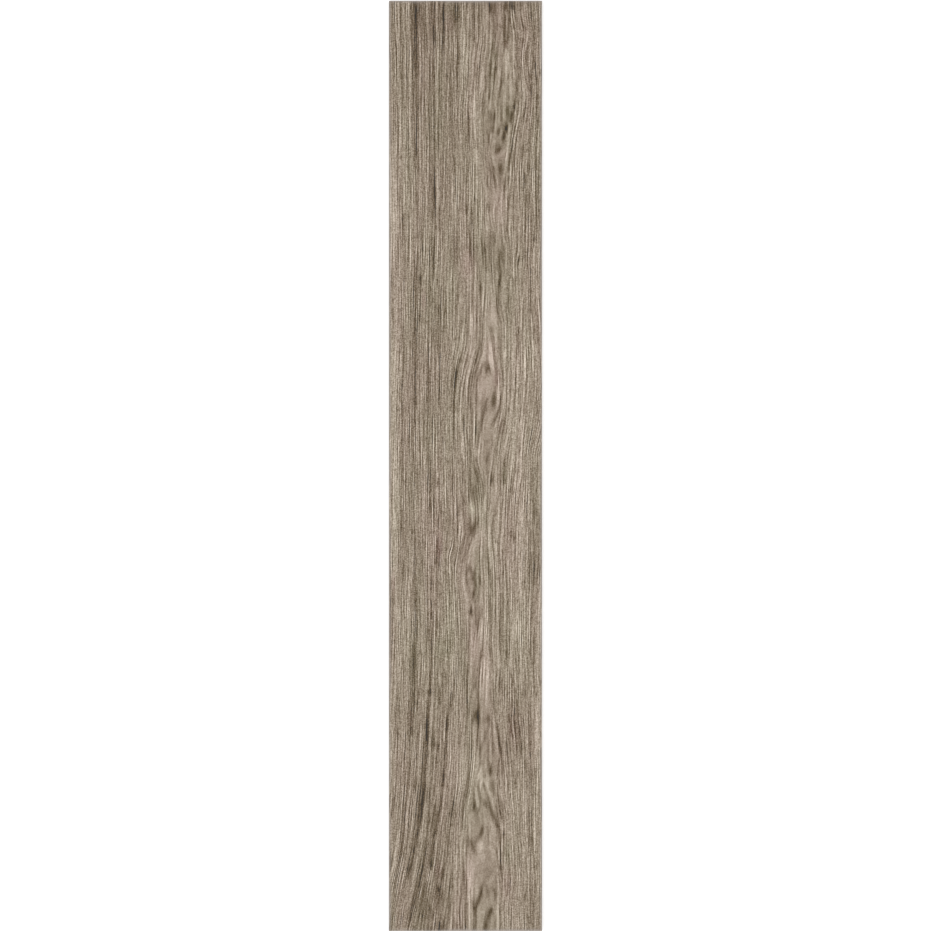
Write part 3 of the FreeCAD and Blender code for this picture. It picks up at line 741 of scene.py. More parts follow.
    (-34, 2, (1.4, -491), (3.4, -485), (6, -478)),
    (-52, 2, (6, -478), (7.4, -484), (9, -490), (10.8, -494)),
    (-26, 1.4, (1, -490), (0.4, -505), (0.2, -526)),
    (-44, 1.8, (0.4, -527), (0.6, -545), (0.2, -559)),
    (-32, 1.6, (0.4, -560), (0.2, -585), (0.4, -604)),
    (-28, 1.2, (29.6, -467), (29.6, -489)),
    (-38, 2, (7.8, -554), (9, -564), (10.4, -572), (11.6, -580)),
    (-46, 1.9, (11.6, -577), (13.4, -568), (16.4, -560), (19.4, -552.5), (21.6, -543), (23.4, -538),
     (26, -540)),
    (-30, 1.6, (26, -540), (28, -546), (31, -550)),
    (-28, 1.5, (31.4, -548), (35, -545), (37.6, -549), (38.6, -561)),
    (-52, 2.4, (24, -603), (26, -592), (28, -585)),
    (-44, 1.6, (28, -585), (30, -578.5), (32.6, -571.5), (34.6, -573.5), (36.4, -579)),
    (-30, 1.5, (36.4, -579), (38, -588), (37.4, -598)),
    (-36, 2.4, (11, -583), (10.6, -604)),
    (34, 1.5, (14.6, -410), (16.6, -400), (19.2, -393), (21.8, -386)),
    (26, 1.3, (19.2, -422), (19.4, -411), (22, -404), (24.4, -403), (27, -410), (30, -417.5), (33, -427.5),
     (35.6, -437)),
    (22, 1.6, (35.6, -423), (37, -434), (37.6, -443)),
    (20, 3, (7.6, -503), (5.4, -520), (5.4, -545), (5.6, -575), (5, -600)),
    (24, 1.4, (31, -473), (32, -488), (32.6, -499)),
    (22, 1.3, (41.4, -479), (42.8, -497), (44, -513)),
    (18, 2.2, (11.8, -339), (11.4, -362), (11, -386)),
    (28, 1.4, (36.4, -321), (37.6, -338), (39.4, -351)),
    # Right-hand flank, bottom: nearly straight grain
    (-38, 2.1, (48.8, -466), (49.6, -480)),
    (-28, 1.2, (82.6, -385), (82.6, -500)),
    (-30, 1.3, (85.6, -385), (85.4, -430), (85.6, -498)),
    (34, 1.1, (88.6, -395), (88.6, -505)),
    (16, 1, (84, -395), (84, -500)),
    (-20, 1.5, (88, -500), (88, -600)),
    (-26, 1.5, (83.6, -530), (83.6, -600)),
    # Right-hand flank, bottom: short dark flecks, and the straight pale and dark pair beside the edge
    (20, 1.2, (88, -512), (88, -556)),
    (-30, 1.2, (88, -395), (87.6, -430), (87.6, -470)),
    (-34, 1.3, (85, -470), (85, -495)),
    (-22, 1.2, (86.6, -328), (86, -362)),
    (-26, 1.2, (89, -386), (89, -404)),
    (-22, 1.6, (89, -412), (88.6, -424)),
    (26, 1.1, (86, -398), (86.2, -440)),
    (28, 1.1, (83.6, -425), (83.8, -446)),
    (26, 1.4, (83.8, -452), (85.4, -472)),
    (22, 1.2, (81, -412), (81.2, -432)),
    (28, 1.3, (56.8, -490), (58.6, -508)),
    (26, 2, (50.4, -458), (50.6, -476)),
    (-34, 1.8, (65.4, -298), (65.4, -311)),
    (-30, 1.4, (63.6, -310), (62.8, -324)),
    (-24, 1.3, (63, -324), (64.2, -336), (66, -348)),
    (-40, 1.4, (72, -350), (72.2, -371)),
    (-36, 1.8, (55.6, -316), (56.2, -330)),
    (-32, 1.3, (51.2, -350), (52.4, -364), (53.6, -380)),
    (-28, 1.3, (69.4, -332), (71.2, -346)),
    (-28, 1.4, (66.6, -352), (67, -370)),
    (-32, 1.8, (64.4, -400), (64.2, -412)),
    (-26, 1.3, (62, -378), (62, -394)),
    (-26, 1.4, (76, -378), (76.6, -392)),
    (-24, 1.3, (66.6, -462), (67.4, -480)),
    (-24, 1.3, (68, -492), (69, -506), (70, -520)),
    (-24, 1.8, (76.6, -545), (75.4, -562)),
    (24, 1.3, (68, -580), (68, -598)),
)

# Each patch has its levels, its cast (rose is above nought, olive below), its centre and its half sizes
GRAIN_PATCHES = (
    (-12, 0, -94, 580, 5, 24),
    (20, 2, -92, 340, 7, 75),
    (14, 0, -91, 150, 7, 90),
    (14, 0, -91, -40, 6, 110),
    (12, 0, -93, -370, 5, 44),
    (-22, -2, -94, 240, 1.8, 13),
    (-24, 0, -94, 195, 1.6, 6),
    (5, 12, -53.5, 213, 3.2, 13),
    (0, 12, -93, -150, 2.4, 16),
    (-46, 2, -69, -340, 1.6, 5),
    (-18, 7, -70, -325, 3.5, 14),
    (-24, 0, -97, -507, 2, 7),
    (-22, 0, -97, -590, 3, 12),
    (-26, 0, -66.8, -494, 1.4, 7),
    (-18, 0, -73, -522, 3, 12),
    (-14, 0, -56, -565, 8, 34),
    (14, 0, 56, 512, 9, 42),
    (8, 6, 47, 400, 10, 8),
    (-34, 0, 45, 381, 4.5, 9),
    (-26, 0, 50, 361, 4.5, 9),
    (-26, 0, 35, 448, 3.5, 7),
    (-30, 0, 42, 430, 2.5, 5),
    (-26, -4, 54, 455, 4.5, 8),
    (-20, 6, 52.5, 543, 4, 5),
    (-22, -4, 39, 528, 3, 6),
    (-6, -6, 35, 520, 6, 40),
    (12, 5, 42, 335, 12, 26),
    (-20, -3, 29, 335, 2.5, 5),
    (10, 6, 34, 195, 8, 18),
    (8, 8, 33, 150, 9, 18),
    (-10, 9, 40, 115, 5, 12),
    (24, 3, 22, 102, 5.5, 16),
    (-28, -5, 36, 84, 3, 10),
    (-12, -6, 14.5, 48, 3.5, 16),
    (-38, -2, -12, 582, 5, 18),
    (5, 8, -20, 570, 6, 14),
    (-20, 7, -13.5, 278, 3.5, 26),
    (-34, 0, -14, 112, 4.5, 17),
    (-20, 0, -15.5, 80, 3.2, 16),
    (-12, 10, -33.5, -105, 4, 18),
    (-32, 0, -33.4, -292, 2.2, 9),
    (-28, -3, -23, -242, 1.7, 6),
    (-6, -5, -31, -236, 9, 14),
    (-36, 0, -46, -457, 1.3, 4),
    (-30, 0, -45, -467, 1.2, 4),
    (-26, -8, -43.6, -511, 2.4, 8),
    (-6, 9, -35, -520, 5, 10),
    (18, -2, -4.5, -392, 4.5, 26),
    (8, 3, -12, -540, 8, 60),
    (-30, 0, -34, -594, 3, 10),
    (-28, 0, -45, -570, 1.8, 5),
    (-8, -9, 15, -145, 4.5, 28),
    (18, -8, 8, -56, 5, 9),
    (10, 6, 20, -92, 9, 14),
    (14, 5, 10, -228, 7, 26),
    (20, 3, 26.5, -268, 7.5, 34),
    (-34, -2, 14, -324, 3.6, 8),
    (-16, 2, 47, -288, 3.6, 16),
    (-9, 8, 64, -335, 10, 26),
    (-26, 6, 58, -340, 1.6, 6),
    (12, 5, 6, -525, 6, 26),
    (10, 0, 22, -492, 7, 12),
    (-10, -7, 54, -498, 6, 16),
    (-8, 7, 54, -540, 6, 18),
    (-26, 0, 32, -393, 3.2, 6),
    (-12, -7, 50, -12, 3.4, 13),
    (-14, 6, 46, 50, 5, 12),
    (-18, 0, 33.6, -17, 3, 9),
    (-24, 0, 7.4, -188, 3.4, 6),
    (-10, 0, 91, 570, 7, 30),
    (-14, 0, 95, 345, 3.5, 45),
    (-10, 4, 5, 280, 5, 30),
    (5, 8, 4, 260, 12, 18),
    (-10, 0, 11, 570, 3.5, 30),
    (-8, 0, 3.5, 425, 3.5, 40),
    (-18, 0, 53, 560, 3, 16),
    (-12, 0, 78.5, 522, 2.5, 9),
    (10, 0, 76, 582, 3.5, 18),
    (10, 0, 55, 405, 5, 14),
    (-10, 0, -47, -65, 3, 22),
    (10, 0, -4, -150, 4, 40),
    (14, 0, -11, -375, 3.5, 45),
    (-14, 0, -39, -357, 2.5, 7),
    (-16, 0, -34, -555, 5, 14),
    (-16, 0, -43, -578, 3, 8),
    (-20, 0, -47, -598, 5, 8),
    (12, 0, 20.5, -72, 3.5, 22),
    (12, 0, 38.5, -35, 3, 18),
    (-22, 0, 9.5, -82, 4.5, 9),
    (12, 0, 10, -395, 5, 25),
    (-16, 0, 31, -524, 6, 7),
    (14, 0, 21, -488, 3, 9),
    (-16, 0, 34.5, 275, 3.6, 34),
    (14, 0, -13, 150, 3, 10),
    (-10, 0, 90, 172, 4, 14),
    (16, 0, 94, -335, 4.5, 38),
    (12, 0, 96.5, -470, 3, 60),
    (-10, 0, 62, -345, 12, 50),
    (12, 0, 94.5, -36, 3, 14),
    (-10, 0, 94, -68, 5, 16),
    (16, 0, 95.5, -225, 3.5, 75),
    (-8, 0, 91, -125, 5, 30),
    # Broad light and dark: the two left corners are darker, and the right-hand side is lighter
    (-14, 0, -34, 582, 27, 36),
    (-9, 0, -34, 460, 20, 130),
    (-8, 0, -64, 500, 14, 120),
    (-11, 0, 40, 600, 60, 16),
    (-8, 0, -36, 110, 12, 120),
    (-13, 0, -50, -480, 37, 140),
    (-6, 0, -44, -565, 24, 45),
    (6, 0, 42, 60, 45, 180),
    (6, 0, 36, -480, 50, 150),
    (6, 0, 48, -180, 45, 130),
)

# Levels of 255 of the plain print between the figure's lines
MIDDLE_TONE = 140.0

# The oak's own texture between those lines, coarsest first. Each layer has the size of one feature across
# and along the grain in millimetres, the levels it swings the print by, how many finer octaves it has and
# its seed. Real oak pores are 0.2 mm wide: here they are as coarse as the photograph still shows.
GRAIN_LAYERS = (
    (34.0, 420.0, 12.0, 1.0, 11.0),
    (4.0, 380.0, 9.0, 1.0, 23.0),
)
FIBRES = (1.1, 80.0, 250.0, 83.0)  # width and length of a fibre in millimetres, its swing in levels, a seed
FIBRE_STEP = 7.3  # how far apart in the noise two neighbouring fibres lie, so that they aren't alike
FIBRE_EDGE = 0.75  # how far a fibre stands out from the one beside it, where the print is crisp
PORES = (1.5, 13.0, 53.0)  # across and along in millimetres, and a seed
PORE_TONE = -34.0
LINE_BREAKS = (5.0, 38.0, 61.0)  # where the drawn lines swell and fade
LINE_STRENGTH = (0.8, 1.3)
SPECKLE = 1.35  # millimetres: the dots of the print, as coarse as the photograph shows them
SPECKLE_TONE = 100.0

STILL_SHARE = 0.65  # share of the texture that is left inside an eye, where the grain lies still
HEART = ((-600, 18), (-100, 18), (80, 24), (300, 33), (600, 33))  # (y, x) down the middle of the heartwood
HEART_WIDTH = 24.0  # half the width over which the heartwood is smoother, in millimetres
HEART_CALM = 0.25  # share of the texture that the heartwood goes without

# How the drawn lines are spread out over the face
STROKE_STRETCH = 3.0  # a line's soft edge is this much longer along the grain than across it
STROKE_TAPER = 16.0  # millimetres over which a line fades out at its end
FLOW_CELLS = (100, 300)  # cells of the flow field, across and along
FLOW_REACH = 5.0  # millimetres over which a drawn line turns the grain beside it
# The print's colours stand at these tones. Light adds up in the linear colours, so a tone is weighed by GAMMA.
TONE_STOPS = (45.0, 80.0, 136.0, 212.0)
GAMMA = 2.2
CAST_FULL = 17.0  # the cast at which the print is wholly rose, or wholly olive below nought
CAST_CLOUD = (22.0, 160.0, 71.0)  # clouds of cast: across and along in millimetres, and a seed
CAST_DRIFT = 0.25
RIM_BLOTCH = 38.0 * MM
GLAZE_BUMP = 0.25 * MM
BODY_BUMP = 0.04 * MM

# The stage
FLOOR_GAP = 0.2 * MM  # keeps the floor clear of the ribs, which would flicker in one plane with it
FLOOR_GLOW = 0.42
KEY_TURN = (38.0, -28.0, 0.0)
FILL_TURN = (-35.0, 40.0, 0.0)
FILL_SHARE = 0.4

FLOW_CALM = 0.03  # pull of the plain straight grain where no line is drawn
FLOW_STEPS = 1200

# The rim of the face, where the ground arris leaves a greyer band
RIM_WIDTH = 2.2


def linear(code):
    """The linear colour, with an alpha of 1, of an sRGB hex value such as #9A8D7D."""
    values = [int(code[place:place + 2], 16) / 255 for place in (1, 3, 5)]
    return tuple(v / 12.92 if v <= 0.04045 else ((v + 0.055) / 1.055) ** 2.4 for v in values) + (1.0,)


def add(tree, kind, inputs=None, **settings):
    """Adds a node with its settings. An input is a value, a socket that feeds it, or a list of sockets."""
    node = tree.nodes.new(kind)
    for name, value in settings.items():
        setattr(node, name, value)
    for name, value in (inputs or {}).items():
        socket = node.inputs[name]
        if isinstance(value, bpy.types.NodeSocket):
            tree.links.new(value, socket)
        elif isinstance(value, list):
            for source in value:
                tree.links.new(source, socket)
        else:
            socket.default_value = value
    return node


def smooth_line(points, steps):
    """Points along a smooth curve that goes through the drawn points of one line."""
    drawn = np.array(points, float)
    ends = [2 * drawn[0] - drawn[1]], [2 * drawn[-1] - drawn[-2]]
    drawn = np.vstack([ends[0], drawn, ends[1]])
    t = np.linspace(0, 1, steps, endpoint=False)[:, None]
    runs = []
    for a, b, c, d in zip(drawn[:-3], drawn[1:-2], drawn[2:-1], drawn[3:]):
        curve = 2 * b + (c - a) * t + (2 * a - 5 * b + 4 * c - d) * t**2 + (3 * b - a - 3 * c + d) * t**3
        runs.append(curve / 2)
    return np.vstack(runs + [drawn[-2:-1]])


def stroke(x, y, line):
    """How strongly one drawn line marks each point: 1 along its middle, fading out to its sides and ends."""
    _, half_width, *points = line
    curve = smooth_line(points, 14)
    along = np.r_[0, np.cumsum(np.hypot(*np.diff(curve, axis=0).T))]
    squeezed = curve / [1, STROKE_STRETCH]
    nearest = np.full(x.shape, np.inf)
    place = np.zeros(x.shape)
    for a, b, start, stop in zip(squeezed[:-1], squeezed[1:], along[:-1], along[1:]):
        run = b - a
        share = ((x - a[0]) * run[0] + (y / STROKE_STRETCH - a[1]) * run[1]) / max(run @ run, 1e-9)
        share = np.clip(share, 0, 1)
        gap = (x - a[0] - share * run[0])**2 + (y / STROKE_STRETCH - a[1] - share * run[1])**2
        closer = gap < nearest
        nearest[closer] = gap[closer]
        place[closer] = (start + share * (stop - start))[closer]
    taper = min(STROKE_TAPER, along[-1] * 0.3)
    fade = 0.2 + 0.8 * np.clip(np.minimum(place, along[-1] - place) / taper, 0, 1)
    return np.exp(-nearest / half_width**2) * fade


def drawn_figure(x, y):
    """The tone and the cast that the drawn lines and patches give each point of the face."""
    tone = np.zeros(x.shape)
    cast = np.zeros(x.shape)
    for line in GRAIN_LINES:
        level, half_width, *points = line
        margin = np.array([3 * half_width, 3 * half_width * STROKE_STRETCH])
        low, high = np.min(points, 0) - margin, np.max(points, 0) + margin
        near = (x > low[0]) & (x < high[0]) & (y > low[1]) & (y < high[1])
        tone[near] += level * stroke(x[near], y[near], line)
    for level, warmth, middle_x, middle_y, half_x, half_y in GRAIN_PATCHES:
        radius = ((x - middle_x) / half_x)**2 + ((y - middle_y) / half_y)**2
        mark = np.exp(-0.9 * radius**1.5)
        tone += level * mark
        cast += warmth * mark
    return tone, cast


def line_directions(x, y):
    """Which way the drawn lines run near each point, as the three parts of a symmetric 2 by 2 matrix."""
    total = np.full(x.shape, 0.15)
    parts = np.zeros((3,) + x.shape)
    for _, _, *points in GRAIN_LINES:
        curve = smooth_line(points, 6)
        middle, run = (curve[1:] + curve[:-1]) / 2, np.diff(curve, axis=0)
        length = np.hypot(*run.T)
        run = run / length[:, None]
        low, high = curve.min(0) - [3 * FLOW_REACH, 6 * FLOW_REACH], curve.max(0) + [3 * FLOW_REACH, 6 * FLOW_REACH]
        near = (x > low[0]) & (x < high[0]) & (y > low[1]) & (y < high[1])
        gap_x, gap_y = x[near][:, None] - middle[:, 0], y[near][:, None] - middle[:, 1]
        weight = np.exp(-(gap_x**2 + (gap_y / 2)**2) / FLOW_REACH**2) * length / FLOW_REACH
        products = run[:, 0]**2, run[:, 0] * run[:, 1], run[:, 1]**2
        for part, product in zip(parts, products):
            part[near] += (weight * product).sum(1)
        total[near] += weight.sum(1)
    return parts / total


def grain_flow(x, y):
    """A coordinate across the grain, in millimetres, that stays the same along every drawn line.

    It is the smooth field whose slope along the lines is least, found by conjugate gradients on a
    coarse grid over the face. Texture laid out on it follows the figure round each eye of the grain.
    """
    across, along = FLOW_CELLS
    step_x, step_y = FACE[0] / across, FACE[1] / along
    centre_x = (np.arange(across) + 0.5) * step_x - FACE[0] / 2
    centre_y = (np.arange(along) + 0.5) * step_y - FACE[1] / 2
    run_xx, run_xy, run_yy = line_directions(*np.meshgrid(centre_x, centre_y))

    def slope(u):
        right, left = u[:-1, 1:] + u[1:, 1:], u[:-1, :-1] + u[1:, :-1]
        up, down = u[1:, :-1] + u[1:, 1:], u[:-1, :-1] + u[:-1, 1:]
        return (right - left) / (2 * step_x), (up - down) / (2 * step_y)

    def spread(slope_x, slope_y, twist):
        """What a change of each corner does to the slopes and the twist of the cells round it."""
        a, b = slope_x / (2 * step_x), slope_y / (2 * step_y)
        corners = np.zeros((along + 1, across + 1))
        corners[:-1, 1:] += a - b - twist
        corners[:-1, :-1] += -a - b + twist
        corners[1:, 1:] += a + b + twist
        corners[1:, :-1] += -a + b - twist
        return corners

    def pull(u):
        x_slope, y_slope = slope(u)
        twist = u[1:, 1:] - u[1:, :-1] - u[:-1, 1:] + u[:-1, :-1]
        across_pull = (run_xx + FLOW_CALM) * x_slope + run_xy * y_slope
        along_pull = run_xy * x_slope + (run_yy + FLOW_CALM) * y_slope
        return spread(across_pull, along_pull, 0.002 * twist)

    flow = np.tile(np.linspace(-FACE[0] / 2, FACE[0] / 2, across + 1), (along + 1, 1))
    rest = spread(np.full(run_xx.shape, FLOW_CALM), 0 * run_xx, 0) - pull(flow)
    push = rest.copy()
    size = (rest * rest).sum()
    for _ in range(FLOW_STEPS):
        change = pull(push)
        stride = size / (push * change).sum()
        flow += stride * push
        rest -= stride * change
        size, last = (rest * rest).sum(), size
        push = rest + size / last * push

    place_x = np.clip((x + FACE[0] / 2) / step_x, 0, across - 1e-6)
    place_y = np.clip((y + FACE[1] / 2) / step_y, 0, along - 1e-6)
    i, j = place_x.astype(int), place_y.astype(int)
    share_x, share_y = place_x - i, place_y - j
    low = flow[j, i] * (1 - share_x) + flow[j, i + 1] * share_x
    high = flow[j + 1, i] * (1 - share_x) + flow[j + 1, i + 1] * share_x
    return low * (1 - share_y) + high * share_y


def face_sheet(sizes):
    """The flat top of the plank as a grid, inside the bevel, with what the figure says at each point."""
    half = [FACE[side] / 2 - sizes.bevel / MM for side in (0, 1)]
    columns = round(2 * half[0] * MM / sizes.column)
    rows = round(2 * half[1] * MM / sizes.row)
    x, y = np.meshgrid(np.linspace(-half[0], half[0], columns + 1), np.linspace(-half[1], half[1], rows + 1))
    x, y = x.ravel(), y.ravel()
    corner = (np.arange(rows)[:, None] * (columns + 1) + np.arange(columns)).ravel()
    quads = np.stack([corner, corner + 1, corner + columns + 2, corner + columns + 1], 1)
    points = np.stack([x * MM, y * MM, np.full(x.shape, PLANK_SIZE[2])], 1)
    mesh = bpy.data.meshes.new("face_sheet")
    mesh.from_pydata(points, [], quads)

    tone, cast = drawn_figure(x, y)
    flow = grain_flow(x, y)
    slope = np.gradient(flow.reshape(rows + 1, columns + 1), 2 * half[1] / rows, 2 * half[0] / columns)
    crowding = np.hypot(*slope).ravel()
    heart = np.exp(-((x - np.interp(y, *zip(*HEART))) / HEART_WIDTH)**2)
    texture = (STILL_SHARE + (1 - STILL_SHARE) * np.clip(crowding, 0, 1)) * (1 - HEART_CALM * heart)
    edge = np.minimum(FACE[0] / 2 - abs(x), FACE[1] / 2 - abs(y))
    outward = np.stack([np.where(abs(x) > half[0] - 0.001, np.sign(x), 0),
                        np.where(abs(y) > half[1] - 0.001, np.sign(y), 0), 0 * x], 1)
    kept = {
        "figure": ("FLOAT", "value", tone),
        "cast": ("FLOAT", "value", cast),
        "rim": ("FLOAT", "value", np.exp(-(edge / RIM_WIDTH)**2)),
        "texture": ("FLOAT", "value", texture),
        "grain": ("FLOAT_VECTOR", "vector", np.stack([flow, y, 0 * x], 1)),
        "outward": ("FLOAT_VECTOR", "vector", outward),
    }
    for name, (kind, field, values) in kept.items():
        attribute = mesh.attributes.new(name, kind, "POINT")
        attribute.data.foreach_set(field, np.ascontiguousarray(values, np.float32).ravel())
    return mesh


def at_scale(tree, grain, across, along, seed):
    """Adds a node that lays the grain's coordinates out so that one feature is this many millimetres."""
    return add(tree, "ShaderNodeVectorMath", {
        0: grain, 1: (1 / across, 1 / along, 0.0), 2: (0.0, 0.0, seed),
    }, operation="MULTIPLY_ADD").outputs[0]


def broad_texture(tree, grain):
    """Adds the coarse texture of the oak between the drawn lines, in levels either side of nought."""
    tone = -sum(swing for _, _, swing, _, _ in GRAIN_LAYERS) / 2
    for across, along, swing, octaves, seed in GRAIN_LAYERS:
        noise = add(tree, "ShaderNodeTexNoise", {
            "Vector": at_scale(tree, grain, across, along, seed), "Scale": 1.0, "Detail": octaves,
            "Roughness": 0.6,
        })
        tone = add(tree, "ShaderNodeMath", {
            0: noise.outputs[0], 1: swing, 2: tone,
        }, operation="MULTIPLY_ADD").outputs[0]
    ticks = add(tree, "ShaderNodeTexNoise", {
        "Vector": at_scale(tree, grain, *PORES), "Scale": 1.0, "Detail": 1.0,
    })
    pores = add(tree, "ShaderNodeMapRange", {
        "Value": ticks.outputs[0], "From Min": 0.56, "From Max": 0.74, "To Min": 0.0, "To Max": PORE_TONE,
    })
    return add(tree, "ShaderNodeMath", {0: tone, 1: pores.outputs[0]}, operation="ADD").outputs[0]


def fibre_texture(tree, grain):
    """Adds the fibres, in levels: each is a narrow strip along the grain, set off from the strip beside it."""
    width, length, swing, seed = FIBRES
    strip = add(tree, "ShaderNodeVectorMath", {0: grain, 1: (width, 0.01, 1.0)}, operation="SNAP")
    tone = swing * (FIBRE_EDGE - 1) / 2
    for beside, share in ((0, swing), (1, -swing * FIBRE_EDGE)):
        place = add(tree, "ShaderNodeVectorMath", {
            0: strip.outputs[0], 1: (FIBRE_STEP / width, 1 / length, 0.0), 2: (beside * FIBRE_STEP, 0.0, seed),
        }, operation="MULTIPLY_ADD")
        noise = add(tree, "ShaderNodeTexNoise", {
            "Vector": place.outputs[0], "Scale": 1.0, "Detail": 3.0, "Roughness": 0.65,
        })
        tone = add(tree, "ShaderNodeMath", {
            0: noise.outputs[0], 1: share, 2: tone,
        }, operation="MULTIPLY_ADD").outputs[0]
    return tone


def print_tone(tree, grain, figure, texture, share):
    """Adds the tone of the print in levels of 255: the drawn figure, and a share of the texture on it."""
    swell = add(tree, "ShaderNodeTexNoise", {
        "Vector": at_scale(tree, grain, *LINE_BREAKS), "Scale": 1.0, "Detail": 1.0,
    })
    strength = add(tree, "ShaderNodeMapRange", {
        "Value": swell.outputs[0], "From Min": 0.3, "From Max": 0.7,
        "To Min": LINE_STRENGTH[0], "To Max": LINE_STRENGTH[1],
    })
    drawn = add(tree, "ShaderNodeMath", {
        0: figure, 1: strength.outputs[0], 2: MIDDLE_TONE,
    }, operation="MULTIPLY_ADD")
    return add(tree, "ShaderNodeMath", {
        0: texture, 1: share, 2: drawn.outputs[0],
    }, operation="MULTIPLY_ADD").outputs[0]


# Every size that the tree of the plank asks for, its kind of socket and where its value comes from
PLANK_INPUTS = (
    ("Thickness", "Float", lambda sizes: PLANK_SIZE[2]),
    ("Bevel", "Float", lambda sizes: sizes.bevel),
    ("Relief", "Float", lambda sizes: sizes.relief),
    ("Cell", "Float", lambda sizes: sizes.cell),
    ("Cell floor", "Float", lambda sizes: sizes.cell - 2 * sizes.cell_depth * math.tan(sizes.cell_draft)),
    ("Cell depth", "Float", lambda sizes: sizes.cell_depth),
    ("Pitch", "Float", lambda sizes: sizes.cell + sizes.rib),
    ("Cells across", "Int", lambda sizes: cell_count(sizes, 0)),
    ("Cells along", "Int", lambda sizes: cell_count(sizes, 1)),
)


def cell_count(sizes, side):
    """How many cells of the back fit between the borders along one side of the plank."""
    room = PLANK_SIZE[side] - 2 * sizes.border + sizes.rib
    return int(room / (sizes.cell + sizes.rib) + 1e-6)


